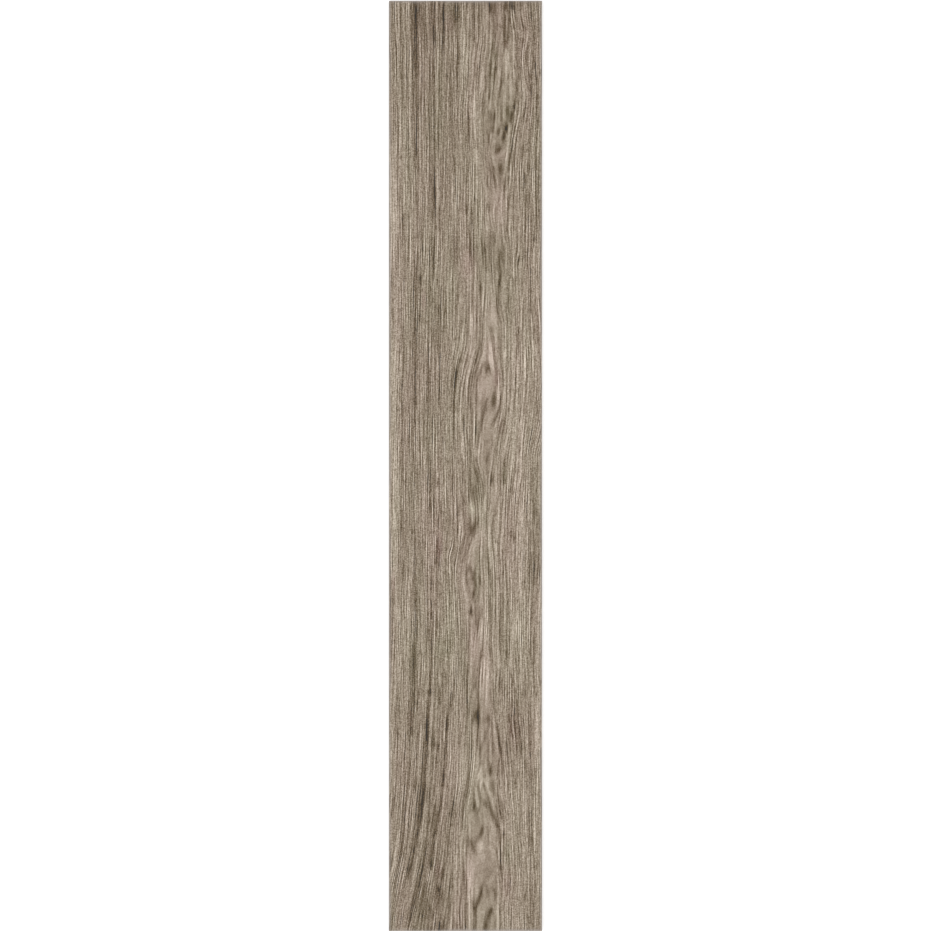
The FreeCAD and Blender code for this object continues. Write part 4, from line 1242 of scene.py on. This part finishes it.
def plank_tree():
    """Geometry Nodes that turn the flat sheet of the face into the whole plank, relief, edges and back."""
    tree = bpy.data.node_groups.new("plank_from_face", "GeometryNodeTree")
    tree.interface.new_socket("Geometry", in_out="INPUT", socket_type="NodeSocketGeometry")
    for name, kind, _ in PLANK_INPUTS:
        tree.interface.new_socket(name, in_out="INPUT", socket_type="NodeSocket" + kind)
    for name in ("Glaze", "Body"):
        tree.interface.new_socket(name, in_out="INPUT", socket_type="NodeSocketMaterial")
    tree.interface.new_socket("Geometry", in_out="OUTPUT", socket_type="NodeSocketGeometry")
    given = add(tree, "NodeGroupInput").outputs

    # Relief: the darker the print, the deeper the face is pressed, and nothing stands above the plank
    grain = add(tree, "GeometryNodeInputNamedAttribute", {"Name": "grain"}, data_type="FLOAT_VECTOR")
    figure = add(tree, "GeometryNodeInputNamedAttribute", {"Name": "figure"}, data_type="FLOAT")
    share = add(tree, "GeometryNodeInputNamedAttribute", {"Name": "texture"}, data_type="FLOAT")
    outward = add(tree, "GeometryNodeInputNamedAttribute", {"Name": "outward"}, data_type="FLOAT_VECTOR")
    down = add(tree, "ShaderNodeVectorMath", {0: outward.outputs[0], 1: (0.0, 0.0, 1.0)}, operation="SUBTRACT")
    texture = broad_texture(tree, grain.outputs[0])
    tone = print_tone(tree, grain.outputs[0], figure.outputs[0], texture, share.outputs[0])
    depth = add(tree, "ShaderNodeMapRange", {
        "Value": tone, "From Min": MIDDLE_TONE + RELIEF_LEVELS[0], "From Max": MIDDLE_TONE + RELIEF_LEVELS[1],
        "To Min": 0.0, "To Max": given["Relief"],
    }, interpolation_type="SMOOTHSTEP")
    press = add(tree, "ShaderNodeVectorMath", {0: down.outputs[0], "Scale": depth.outputs[0]}, operation="SCALE")
    pressed = add(tree, "GeometryNodeSetPosition", {"Geometry": given["Geometry"], "Offset": press.outputs[0]})

    # Bevel: the open border is drawn out along the bevel's own plane, however deep the relief has cut there
    faces_beside = add(tree, "GeometryNodeInputMeshEdgeNeighbors")
    border = add(tree, "FunctionNodeCompare", {2: faces_beside.outputs[0], 3: 1}, data_type="INT",
                 operation="EQUAL")
    bevelled = add(tree, "GeometryNodeExtrudeMesh", {
        "Mesh": pressed.outputs[0], "Selection": border.outputs[0], "Offset": (0.0, 0.0, 0.0),
        "Offset Scale": 0.0,
    }, mode="EDGES")
    place = add(tree, "GeometryNodeInputPosition")
    height = add(tree, "ShaderNodeSeparateXYZ", {0: place.outputs[0]})
    arris = add(tree, "ShaderNodeMath", {0: given["Thickness"], 1: given["Bevel"]}, operation="SUBTRACT")
    left = add(tree, "ShaderNodeMath", {0: height.outputs["Z"], 1: arris.outputs[0]}, operation="SUBTRACT")
    draw = add(tree, "ShaderNodeVectorMath", {0: down.outputs[0], "Scale": left.outputs[0]}, operation="SCALE")
    ring = add(tree, "GeometryNodeSetPosition", {
        "Geometry": bevelled.outputs["Mesh"], "Selection": bevelled.outputs["Top"], "Offset": draw.outputs[0],
    })

    # Sides: the same border again, straight down to the ribs of the back
    walls = add(tree, "GeometryNodeExtrudeMesh", {
        "Mesh": ring.outputs[0], "Selection": bevelled.outputs["Top"], "Offset": (0.0, 0.0, 0.0),
        "Offset Scale": 0.0,
    }, mode="EDGES")
    floor_level = add(tree, "ShaderNodeVectorMath", {0: place.outputs[0], 1: (1.0, 1.0, 0.0)},
                      operation="MULTIPLY")
    shell = add(tree, "GeometryNodeSetPosition", {
        "Geometry": walls.outputs["Mesh"], "Selection": walls.outputs["Top"], "Position": floor_level.outputs[0],
    })

    # Back: a lattice of ribs, filled in between the foot of the sides and the mouth of every cell
    foot = add(tree, "GeometryNodeMeshToCurve", {"Mesh": shell.outputs[0], "Selection": walls.outputs["Top"]})
    spans = []
    for name in ("Cells across", "Cells along"):
        gaps = add(tree, "ShaderNodeMath", {0: given[name], 1: 1.0}, operation="SUBTRACT")
        spans.append(add(tree, "ShaderNodeMath", {0: gaps.outputs[0], 1: given["Pitch"]}, operation="MULTIPLY"))
    centres = add(tree, "GeometryNodeMeshGrid", {
        "Size X": spans[0].outputs[0], "Size Y": spans[1].outputs[0],
        "Vertices X": given["Cells across"], "Vertices Y": given["Cells along"],
    })
    mouth = add(tree, "GeometryNodeCurvePrimitiveQuadrilateral", {"Width": given["Cell"], "Height": given["Cell"]})
    mouths = add(tree, "GeometryNodeInstanceOnPoints", {
        "Points": centres.outputs["Mesh"], "Instance": mouth.outputs[0],
    })
    outlines = add(tree, "GeometryNodeRealizeInstances", {"Geometry": mouths.outputs[0]})
    loops = add(tree, "GeometryNodeJoinGeometry", {"Geometry": [foot.outputs[0], outlines.outputs[0]]})
    lattice = add(tree, "GeometryNodeFillCurve", {"Curve": loops.outputs[0]})
    ribs = add(tree, "GeometryNodeFlipFaces", {"Mesh": lattice.outputs[0]})

    # Cells: one tapered pocket without its mouth, turned to face into its own air and set at every centre
    size = add(tree, "ShaderNodeCombineXYZ", {
        "X": given["Cell floor"], "Y": given["Cell floor"], "Z": given["Cell depth"],
    })
    block = add(tree, "GeometryNodeMeshCube", {"Size": size.outputs[0]})
    normal = add(tree, "ShaderNodeSeparateXYZ", {0: add(tree, "GeometryNodeInputNormal").outputs[0]})
    downward = add(tree, "ShaderNodeMath", {0: normal.outputs["Z"], 1: -0.5}, operation="LESS_THAN")
    open_block = add(tree, "GeometryNodeDeleteGeometry", {
        "Geometry": block.outputs["Mesh"], "Selection": downward.outputs[0],
    }, domain="FACE")
    low = add(tree, "ShaderNodeMath", {0: height.outputs["Z"], 1: 0.0}, operation="LESS_THAN")
    widen = add(tree, "ShaderNodeMath", {0: given["Cell"], 1: given["Cell floor"]}, operation="DIVIDE")
    taper = add(tree, "ShaderNodeCombineXYZ", {"X": widen.outputs[0], "Y": widen.outputs[0], "Z": 1.0})
    spread = add(tree, "ShaderNodeVectorMath", {0: place.outputs[0], 1: taper.outputs[0]}, operation="MULTIPLY")
    mouthed = add(tree, "GeometryNodeSetPosition", {
        "Geometry": open_block.outputs[0], "Selection": low.outputs[0], "Position": spread.outputs[0],
    })
    half_depth = add(tree, "ShaderNodeMath", {0: given["Cell depth"], 1: 0.5}, operation="MULTIPLY")
    lift = add(tree, "ShaderNodeCombineXYZ", {"Z": half_depth.outputs[0]})
    raised = add(tree, "GeometryNodeSetPosition", {"Geometry": mouthed.outputs[0], "Offset": lift.outputs[0]})
    pocket = add(tree, "GeometryNodeFlipFaces", {"Mesh": raised.outputs[0]})
    pockets = add(tree, "GeometryNodeInstanceOnPoints", {
        "Points": centres.outputs["Mesh"], "Instance": pocket.outputs[0],
    })
    cells = add(tree, "GeometryNodeRealizeInstances", {"Geometry": pockets.outputs[0]})

    # One closed skin: the joined edges are welded, the face is shaded smooth and the ground sides flat
    parts = add(tree, "GeometryNodeJoinGeometry", {
        "Geometry": [shell.outputs[0], ribs.outputs[0], cells.outputs[0]],
    })
    welded = add(tree, "GeometryNodeMergeByDistance", {"Geometry": parts.outputs[0], "Distance": WELD})
    upward = add(tree, "ShaderNodeMath", {0: normal.outputs["Z"], 1: FACE_SLOPE}, operation="GREATER_THAN")
    flat = add(tree, "GeometryNodeSetShadeSmooth", {"Geometry": welded.outputs[0], "Shade Smooth": False})
    shaded = add(tree, "GeometryNodeSetShadeSmooth", {
        "Geometry": flat.outputs[0], "Selection": upward.outputs[0], "Shade Smooth": True,
    })
    whole = add(tree, "GeometryNodeRealizeInstances", {"Geometry": shaded.outputs[0]})
    fired = add(tree, "GeometryNodeSetMaterial", {"Geometry": whole.outputs[0], "Material": given["Body"]})
    glazed = add(tree, "GeometryNodeSetMaterial", {
        "Geometry": fired.outputs[0], "Selection": upward.outputs[0], "Material": given["Glaze"],
    })
    add(tree, "NodeGroupOutput", {0: glazed.outputs[0]})
    return tree


class PlankSizes(bpy.types.PropertyGroup):
    """Sizes of the plank's body that its box doesn't give"""

    bevel: bpy.props.FloatProperty(
        name="Arris bevel", description="Each leg of the bevel ground round the face",
        default=0.5 * MM, min=0.0, unit="LENGTH",
    )
    relief: bpy.props.FloatProperty(
        name="Grain relief", description="Depth of the deepest grain line pressed into the face",
        default=0.28 * MM, min=0.0, unit="LENGTH",
    )
    column: bpy.props.FloatProperty(
        name="Column width", description="Width of one face of the relief, across the grain",
        default=1.0 * MM, min=0.5 * MM, unit="LENGTH",
    )
    row: bpy.props.FloatProperty(
        name="Row length", description="Length of one face of the relief, along the grain",
        default=2.7 * MM, min=0.5 * MM, unit="LENGTH",
    )
    cell: bpy.props.FloatProperty(
        name="Back cell", description="Side of the square mouth of one cell in the keyed back",
        default=16.0 * MM, min=0.0, unit="LENGTH",
    )
    cell_depth: bpy.props.FloatProperty(
        name="Back cell depth", description="From the ribs of the back to the floor of a cell",
        default=0.7 * MM, min=0.0, unit="LENGTH",
    )
    cell_draft: bpy.props.FloatProperty(
        name="Back cell draft", description="Lean of the four walls of a cell",
        default=math.radians(35.0), subtype="ANGLE",
    )
    rib: bpy.props.FloatProperty(
        name="Back rib", description="Flat land between two cells of the back",
        default=4.0 * MM, min=0.0, unit="LENGTH",
    )
    border: bpy.props.FloatProperty(
        name="Least border", description="Least width of the plain margin round the cells",
        default=8.0 * MM, min=0.0, unit="LENGTH",
    )


class PlankLook(bpy.types.PropertyGroup):
    """Colours of the printed glaze and of the fired body"""

    olive_dark: bpy.props.FloatVectorProperty(
        name="Olive print, dark", description="Darkest lines of the print where the oak leans to olive",
        default=linear("#4B401A"), size=4, subtype="COLOR",
    )
    olive_middle: bpy.props.FloatVectorProperty(
        name="Olive print, middle", description="Middle tone of the print where the oak leans to olive",
        default=linear("#8D856D"), size=4, subtype="COLOR",
    )
    olive_light: bpy.props.FloatVectorProperty(
        name="Olive print, light", description="Palest wood of the print where the oak leans to olive",
        default=linear("#DFD7C0"), size=4, subtype="COLOR",
    )
    rose_dark: bpy.props.FloatVectorProperty(
        name="Rose print, dark", description="Darkest lines of the print where the oak leans to rose",
        default=linear("#51361F"), size=4, subtype="COLOR",
    )
    rose_middle: bpy.props.FloatVectorProperty(
        name="Rose print, middle", description="Middle tone of the print where the oak leans to rose",
        default=linear("#937D6F"), size=4, subtype="COLOR",
    )
    rose_light: bpy.props.FloatVectorProperty(
        name="Rose print, light", description="Palest wood of the print where the oak leans to rose",
        default=linear("#E4CFC3"), size=4, subtype="COLOR",
    )
    deepest: bpy.props.FloatVectorProperty(
        name="Deepest print", description="What the darkest lines of both prints fall off to",
        default=linear("#171006"), size=4, subtype="COLOR",
    )
    rim: bpy.props.FloatVectorProperty(
        name="Rim of the face", description="Greyer glaze that the ground arris leaves round the print",
        default=linear("#9A918A"), size=4, subtype="COLOR",
    )
    body: bpy.props.FloatVectorProperty(
        name="Fired body", description="Bare porcelain of the ground sides and the back",
        default=linear("#A69C90"), size=4, subtype="COLOR",
    )
    body_dark: bpy.props.FloatVectorProperty(
        name="Fired body, dark", description="Darker specks and mottling of the bare porcelain",
        default=linear("#847A6F"), size=4, subtype="COLOR",
    )
    sheen: bpy.props.FloatProperty(
        name="Glaze roughness", description="How matt the glaze is",
        default=0.55, min=0.0, max=1.0, subtype="FACTOR",
    )


class StudioLook(bpy.types.PropertyGroup):
    """The plain stage that the plank lies on"""

    world: bpy.props.FloatProperty(
        name="Light all round", description="Strength of the even white light from every side",
        default=0.8, min=0.0,
    )
    key: bpy.props.FloatProperty(
        name="Key lamp", description="Strength of the soft lamp from the upper left",
        default=0.65, min=0.0,
    )
    key_angle: bpy.props.FloatProperty(
        name="Key softness", description="How wide the key lamp looks from the plank",
        default=math.radians(40.0), subtype="ANGLE",
    )
    lens: bpy.props.FloatProperty(
        name="Lens", description="A long lens, as the photograph shows no perspective",
        default=200.0, min=1.0, unit="CAMERA",
    )
    floor: bpy.props.FloatProperty(
        name="Floor side", description="Side of the white floor",
        default=60.0, min=1.0, unit="LENGTH",
    )


def tone_ramp(tree, tone, stops):
    """A colour ramp over the tone of the print, with stops at TONE_STOPS in light as the eye weighs it."""
    share = add(tree, "ShaderNodeMath", {0: tone, 1: 255.0}, operation="DIVIDE", use_clamp=True)
    weight = add(tree, "ShaderNodeMath", {0: share.outputs[0], 1: GAMMA}, operation="POWER")
    node = add(tree, "ShaderNodeValToRGB", {0: weight.outputs[0]})
    marks = node.color_ramp.elements
    while len(marks) < len(stops):
        marks.new(1.0)
    for mark, level, colour in zip(marks, TONE_STOPS, stops):
        mark.position = (level / 255) ** GAMMA
        mark.color = colour
    return node.outputs[0]


def new_material(name):
    """An empty node material, and the tree that it is built in."""
    material = bpy.data.materials.new(name)
    material.use_nodes = True
    material.node_tree.nodes.clear()
    return material, material.node_tree


def printed_glaze(look):
    """Matt glazed porcelain, with an oak grain printed by inkjet and pressed in before the fire.

    Pigment fired into a matt glaze gives the eye wood's colours without wood's depth: a broad, dull sheen
    over the whole face, and a little more bite where the pressing has left the glaze thin.
    """
    material, tree = new_material("matt_glazed_porcelain_oak_print")
    values = {name: add(tree, "ShaderNodeAttribute", attribute_name=name)
              for name in ("grain", "figure", "texture", "cast", "rim")}
    grain = values["grain"].outputs["Vector"]
    texture = add(tree, "ShaderNodeMath", {
        0: broad_texture(tree, grain), 1: fibre_texture(tree, grain),
    }, operation="ADD")
    tone = print_tone(tree, grain, values["figure"].outputs["Fac"], texture.outputs[0],
                      values["texture"].outputs["Fac"])
    place = add(tree, "ShaderNodeTexCoord").outputs["Object"]
    dots = add(tree, "ShaderNodeTexNoise", {
        "Vector": place, "Scale": 1 / (SPECKLE * MM), "Detail": 0.0,
    })
    swing = add(tree, "ShaderNodeMath", {0: dots.outputs[0], 1: 0.5}, operation="SUBTRACT")
    crisp = add(tree, "ShaderNodeMath", {
        0: values["texture"].outputs["Fac"], 1: SPECKLE_TONE,
    }, operation="MULTIPLY")
    speckled = add(tree, "ShaderNodeMath", {
        0: swing.outputs[0], 1: crisp.outputs[0], 2: tone,
    }, operation="MULTIPLY_ADD").outputs[0]

    olive = tone_ramp(tree, speckled, (look.deepest, look.olive_dark, look.olive_middle, look.olive_light))
    rose = tone_ramp(tree, speckled, (look.deepest, look.rose_dark, look.rose_middle, look.rose_light))
    cloud = add(tree, "ShaderNodeTexNoise", {
        "Vector": at_scale(tree, grain, *CAST_CLOUD), "Scale": 1.0, "Detail": 1.0,
    })
    drift = add(tree, "ShaderNodeMapRange", {
        "Value": cloud.outputs[0], "From Min": 0.2, "From Max": 0.8, "To Min": 0.5 - CAST_DRIFT,
        "To Max": 0.5 + CAST_DRIFT,
    })
    cast = add(tree, "ShaderNodeMath", {
        0: values["cast"].outputs["Fac"], 1: 0.5 / CAST_FULL, 2: drift.outputs[0],
    }, operation="MULTIPLY_ADD", use_clamp=True)
    wood = add(tree, "ShaderNodeMix", {0: cast.outputs[0], 6: olive, 7: rose}, data_type="RGBA")

    patchy = add(tree, "ShaderNodeTexNoise", {"Vector": place, "Scale": 1 / RIM_BLOTCH, "Detail": 1.0})
    worn = add(tree, "ShaderNodeMapRange", {
        "Value": patchy.outputs[0], "From Min": 0.3, "From Max": 0.6, "To Min": 0.25, "To Max": 0.95,
    })
    rim = add(tree, "ShaderNodeMath", {
        0: values["rim"].outputs["Fac"], 1: worn.outputs[0],
    }, operation="MULTIPLY")
    colour = add(tree, "ShaderNodeMix", {0: rim.outputs[0], 6: wood.outputs[2], 7: look.rim}, data_type="RGBA")

    duller = add(tree, "ShaderNodeMapRange", {
        "Value": speckled, "From Min": 80.0, "From Max": 190.0,
        "To Min": look.sheen + 0.1, "To Max": look.sheen - 0.05,
    })
    height = add(tree, "ShaderNodeMath", {0: speckled, 1: 255.0}, operation="DIVIDE")
    bump = add(tree, "ShaderNodeBump", {
        "Height": height.outputs[0], "Strength": 1.0, "Distance": GLAZE_BUMP,
    })
    shader = add(tree, "ShaderNodeBsdfPrincipled", {
        "Base Color": colour.outputs[2], "Roughness": duller.outputs[0], "IOR": 1.5,
        "Normal": bump.outputs[0],
    })
    add(tree, "ShaderNodeOutputMaterial", {"Surface": shader.outputs[0]})
    return material


def fired_body(look):
    """Unglazed porcelain stoneware: the back as it was pressed, the four sides and the bevel ground square.

    Pressed powder fired dense gives the eye an even, stony warm grey with fine dark specks and no sheen.
    The grinding wheels leave faint lines that run along each side.
    """
    material, tree = new_material("unglazed_porcelain_pressed_and_ground")
    place = add(tree, "ShaderNodeTexCoord").outputs["Object"]
    specks = add(tree, "ShaderNodeTexNoise", {
        "Vector": place, "Scale": 1 / (0.8 * MM), "Detail": 2.0, "Roughness": 0.7,
    })
    clouds = add(tree, "ShaderNodeTexNoise", {"Vector": place, "Scale": 1 / (45.0 * MM), "Detail": 2.0})
    run = add(tree, "ShaderNodeVectorMath", {
        0: place, 1: (1 / (60.0 * MM), 1 / (60.0 * MM), 1 / (0.35 * MM)),
    }, operation="MULTIPLY")
    marks = add(tree, "ShaderNodeTexNoise", {"Vector": run.outputs[0], "Scale": 1.0, "Detail": 2.0})
    speck = add(tree, "ShaderNodeMapRange", {
        "Value": specks.outputs[0], "From Min": 0.45, "From Max": 0.75, "To Min": 0.0, "To Max": 0.7,
    })
    cloud = add(tree, "ShaderNodeMapRange", {
        "Value": clouds.outputs[0], "From Min": 0.3, "From Max": 0.7, "To Min": 0.0, "To Max": 0.35,
    })
    mark = add(tree, "ShaderNodeMapRange", {
        "Value": marks.outputs[0], "From Min": 0.35, "From Max": 0.7, "To Min": 0.0, "To Max": 0.3,
    })
    first = add(tree, "ShaderNodeMath", {0: speck.outputs[0], 1: cloud.outputs[0]}, operation="ADD")
    share = add(tree, "ShaderNodeMath", {0: first.outputs[0], 1: mark.outputs[0]}, operation="ADD",
                use_clamp=True)
    colour = add(tree, "ShaderNodeMix", {0: share.outputs[0], 6: look.body, 7: look.body_dark},
                 data_type="RGBA")
    roughness = add(tree, "ShaderNodeMapRange", {
        "Value": specks.outputs[0], "From Min": 0.3, "From Max": 0.7, "To Min": 0.72, "To Max": 0.88,
    })
    bump = add(tree, "ShaderNodeBump", {
        "Height": share.outputs[0], "Strength": 1.0, "Distance": BODY_BUMP,
    })
    shader = add(tree, "ShaderNodeBsdfPrincipled", {
        "Base Color": colour.outputs[2], "Roughness": roughness.outputs[0], "IOR": 1.55,
        "Normal": bump.outputs[0],
    })
    add(tree, "ShaderNodeOutputMaterial", {"Surface": shader.outputs[0]})
    return material


def check_closed(mesh):
    """Stops the script where the plank's skin is open, or is turned inside out."""
    skin = bmesh.new()
    skin.from_mesh(mesh)
    open_edges = sum(not edge.is_contiguous for edge in skin.edges)
    volume = skin.calc_volume(signed=True)
    triangles = sum(len(face.verts) - 2 for face in skin.faces)
    skin.free()
    print(f"plank: {triangles} triangles, {open_edges} open edges, {volume * 1e6:.1f} cubic centimetres")
    if open_edges or volume <= 0:
        raise RuntimeError("the plank's skin is open or inside out")


class PLANK_OT_fired_plank(bpy.types.Operator):
    """Make the fired plank: relief and print on its face, ground sides and a keyed back"""

    bl_idname = "plank.fired_plank"
    bl_label = "Make the fired plank"

    def execute(self, context):
        sizes, look = context.scene.plank_sizes, context.scene.plank_look
        blank = bpy.data.objects.new("face_sheet", face_sheet(sizes))
        context.scene.collection.objects.link(blank)
        tree = plank_tree()
        socket = {item.name: item.identifier for item in tree.interface.items_tree if item.in_out == "INPUT"}
        modifier = blank.modifiers.new("plank", "NODES")
        modifier.node_group = tree
        for name, _, value in PLANK_INPUTS:
            modifier[socket[name]] = value(sizes)
        modifier[socket["Glaze"]] = printed_glaze(look)
        modifier[socket["Body"]] = fired_body(look)
        evaluated = blank.evaluated_get(context.evaluated_depsgraph_get())
        mesh = bpy.data.meshes.new_from_object(evaluated)
        mesh.name = PIECE
        bpy.data.objects.remove(blank)
        mesh.attributes.remove(mesh.attributes["outward"])
        check_closed(mesh)
        plank = bpy.data.objects.new(PIECE, mesh)
        context.scene.collection.objects.link(plank)
        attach(plank, "root")
        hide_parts(NODE)
        return {"FINISHED"}


def seen_directly(tree):
    """A socket that is 1 for what the camera, a gloss or a glass sees, and 0 for light on the object."""
    path = add(tree, "ShaderNodeLightPath")
    either = add(tree, "ShaderNodeMath", {
        0: path.outputs["Is Camera Ray"], 1: path.outputs["Is Glossy Ray"],
    }, operation="MAXIMUM")
    return add(tree, "ShaderNodeMath", {
        0: either.outputs[0], 1: path.outputs["Is Transmission Ray"],
    }, operation="MAXIMUM").outputs[0]


def white_floor(side):
    """A plain white floor under the ribs of the back, which keeps the plank's shadow."""
    material, tree = new_material("plain_white_floor")
    matt = add(tree, "ShaderNodeBsdfDiffuse", {"Color": linear("#E8E8E8")})
    glow = add(tree, "ShaderNodeEmission", {"Color": linear("#FFFFFF"), "Strength": FLOOR_GLOW})
    bright = add(tree, "ShaderNodeAddShader", {0: matt.outputs[0], 1: glow.outputs[0]})
    shown = add(tree, "ShaderNodeMixShader", {
        0: seen_directly(tree), 1: matt.outputs[0], 2: bright.outputs[0],
    })
    add(tree, "ShaderNodeOutputMaterial", {"Surface": shown.outputs[0]})
    mesh = bpy.data.meshes.new("floor")
    corners = [(x * side / 2, y * side / 2, PLANK_LOW.z - FLOOR_GAP) for x, y in ((-1, -1), (1, -1), (1, 1), (-1, 1))]
    mesh.from_pydata(corners, [], [(0, 1, 2, 3)])
    mesh.materials.append(material)
    return bpy.data.objects.new("floor", mesh)


class PLANK_OT_stage(bpy.types.Operator):
    """Make the white floor, the even studio light and the camera that looks straight down"""

    bl_idname = "plank.stage"
    bl_label = "Make the stage"

    def execute(self, context):
        studio, scene = context.scene.plank_studio, context.scene
        floor = white_floor(studio.floor)
        scene.collection.objects.link(floor)

        world = bpy.data.worlds.new("even_white")
        world.use_nodes = True
        world.node_tree.nodes.clear()
        tree = world.node_tree
        light = add(tree, "ShaderNodeBackground", {"Color": linear("#FFFFFF"), "Strength": studio.world})
        seen = add(tree, "ShaderNodeBackground", {"Color": linear("#FFFFFF"), "Strength": 1.0})
        mix = add(tree, "ShaderNodeMixShader", {0: seen_directly(tree), 1: light.outputs[0], 2: seen.outputs[0]})
        add(tree, "ShaderNodeOutputWorld", {"Surface": mix.outputs[0]})
        scene.world = world

        for name, strength, turn in (("key", studio.key, KEY_TURN), ("fill", studio.key * FILL_SHARE, FILL_TURN)):
            lamp = bpy.data.lights.new(name, "SUN")
            lamp.energy = strength
            lamp.angle = studio.key_angle
            holder = bpy.data.objects.new(name, lamp)
            holder.rotation_euler = [math.radians(angle) for angle in turn]
            scene.collection.objects.link(holder)

        sensor = 36.0
        span = PHOTO_SIDE * PLANK_SIZE[0] / FACE_WIDTH_IN_PHOTO
        data = bpy.data.cameras.new("camera")
        data.sensor_width = sensor
        data.lens = studio.lens
        data.clip_end = 100.0
        camera = bpy.data.objects.new("camera", data)
        middle = [(low + high) / 2 for low, high in zip(PLANK_LOW, PLANK_HIGH)]
        camera.location = (
            middle[0], middle[1] + FACE_MIDDLE_BELOW_CENTRE * span / PHOTO_SIDE,
            PLANK_HIGH.z + span * studio.lens / sensor,
        )
        scene.collection.objects.link(camera)
        scene.camera = camera
        scene.view_settings.view_transform = "Standard"
        return {"FINISHED"}


class PLANK_PT_sidebar(bpy.types.Panel):
    """The plank's sizes and colours, and the buttons that make it"""

    bl_label = "Porcelain plank"
    bl_space_type = "VIEW_3D"
    bl_region_type = "UI"
    bl_category = "Plank"

    def draw(self, context):
        scene = context.scene
        for group, operator in (
            (scene.plank_sizes, None),
            (scene.plank_look, PLANK_OT_fired_plank),
            (scene.plank_studio, PLANK_OT_stage),
        ):
            box = self.layout.box()
            for name in group.__annotations__:
                box.prop(group, name)
            if operator:
                box.operator(operator.bl_idname)


CLASSES = (PlankSizes, PlankLook, StudioLook, PLANK_OT_fired_plank, PLANK_OT_stage, PLANK_PT_sidebar)
GROUPS = {"plank_sizes": PlankSizes, "plank_look": PlankLook, "plank_studio": StudioLook}


def register():
    for item in CLASSES:
        bpy.utils.register_class(item)
    for name, group in GROUPS.items():
        setattr(bpy.types.Scene, name, bpy.props.PointerProperty(type=group))


def unregister():
    for name in GROUPS:
        delattr(bpy.types.Scene, name)
    for item in reversed(CLASSES):
        bpy.utils.unregister_class(item)


def main():
    register()
    bpy.ops.plank.fired_plank()
    bpy.ops.plank.stage()


if __name__ == "__main__":
    main()
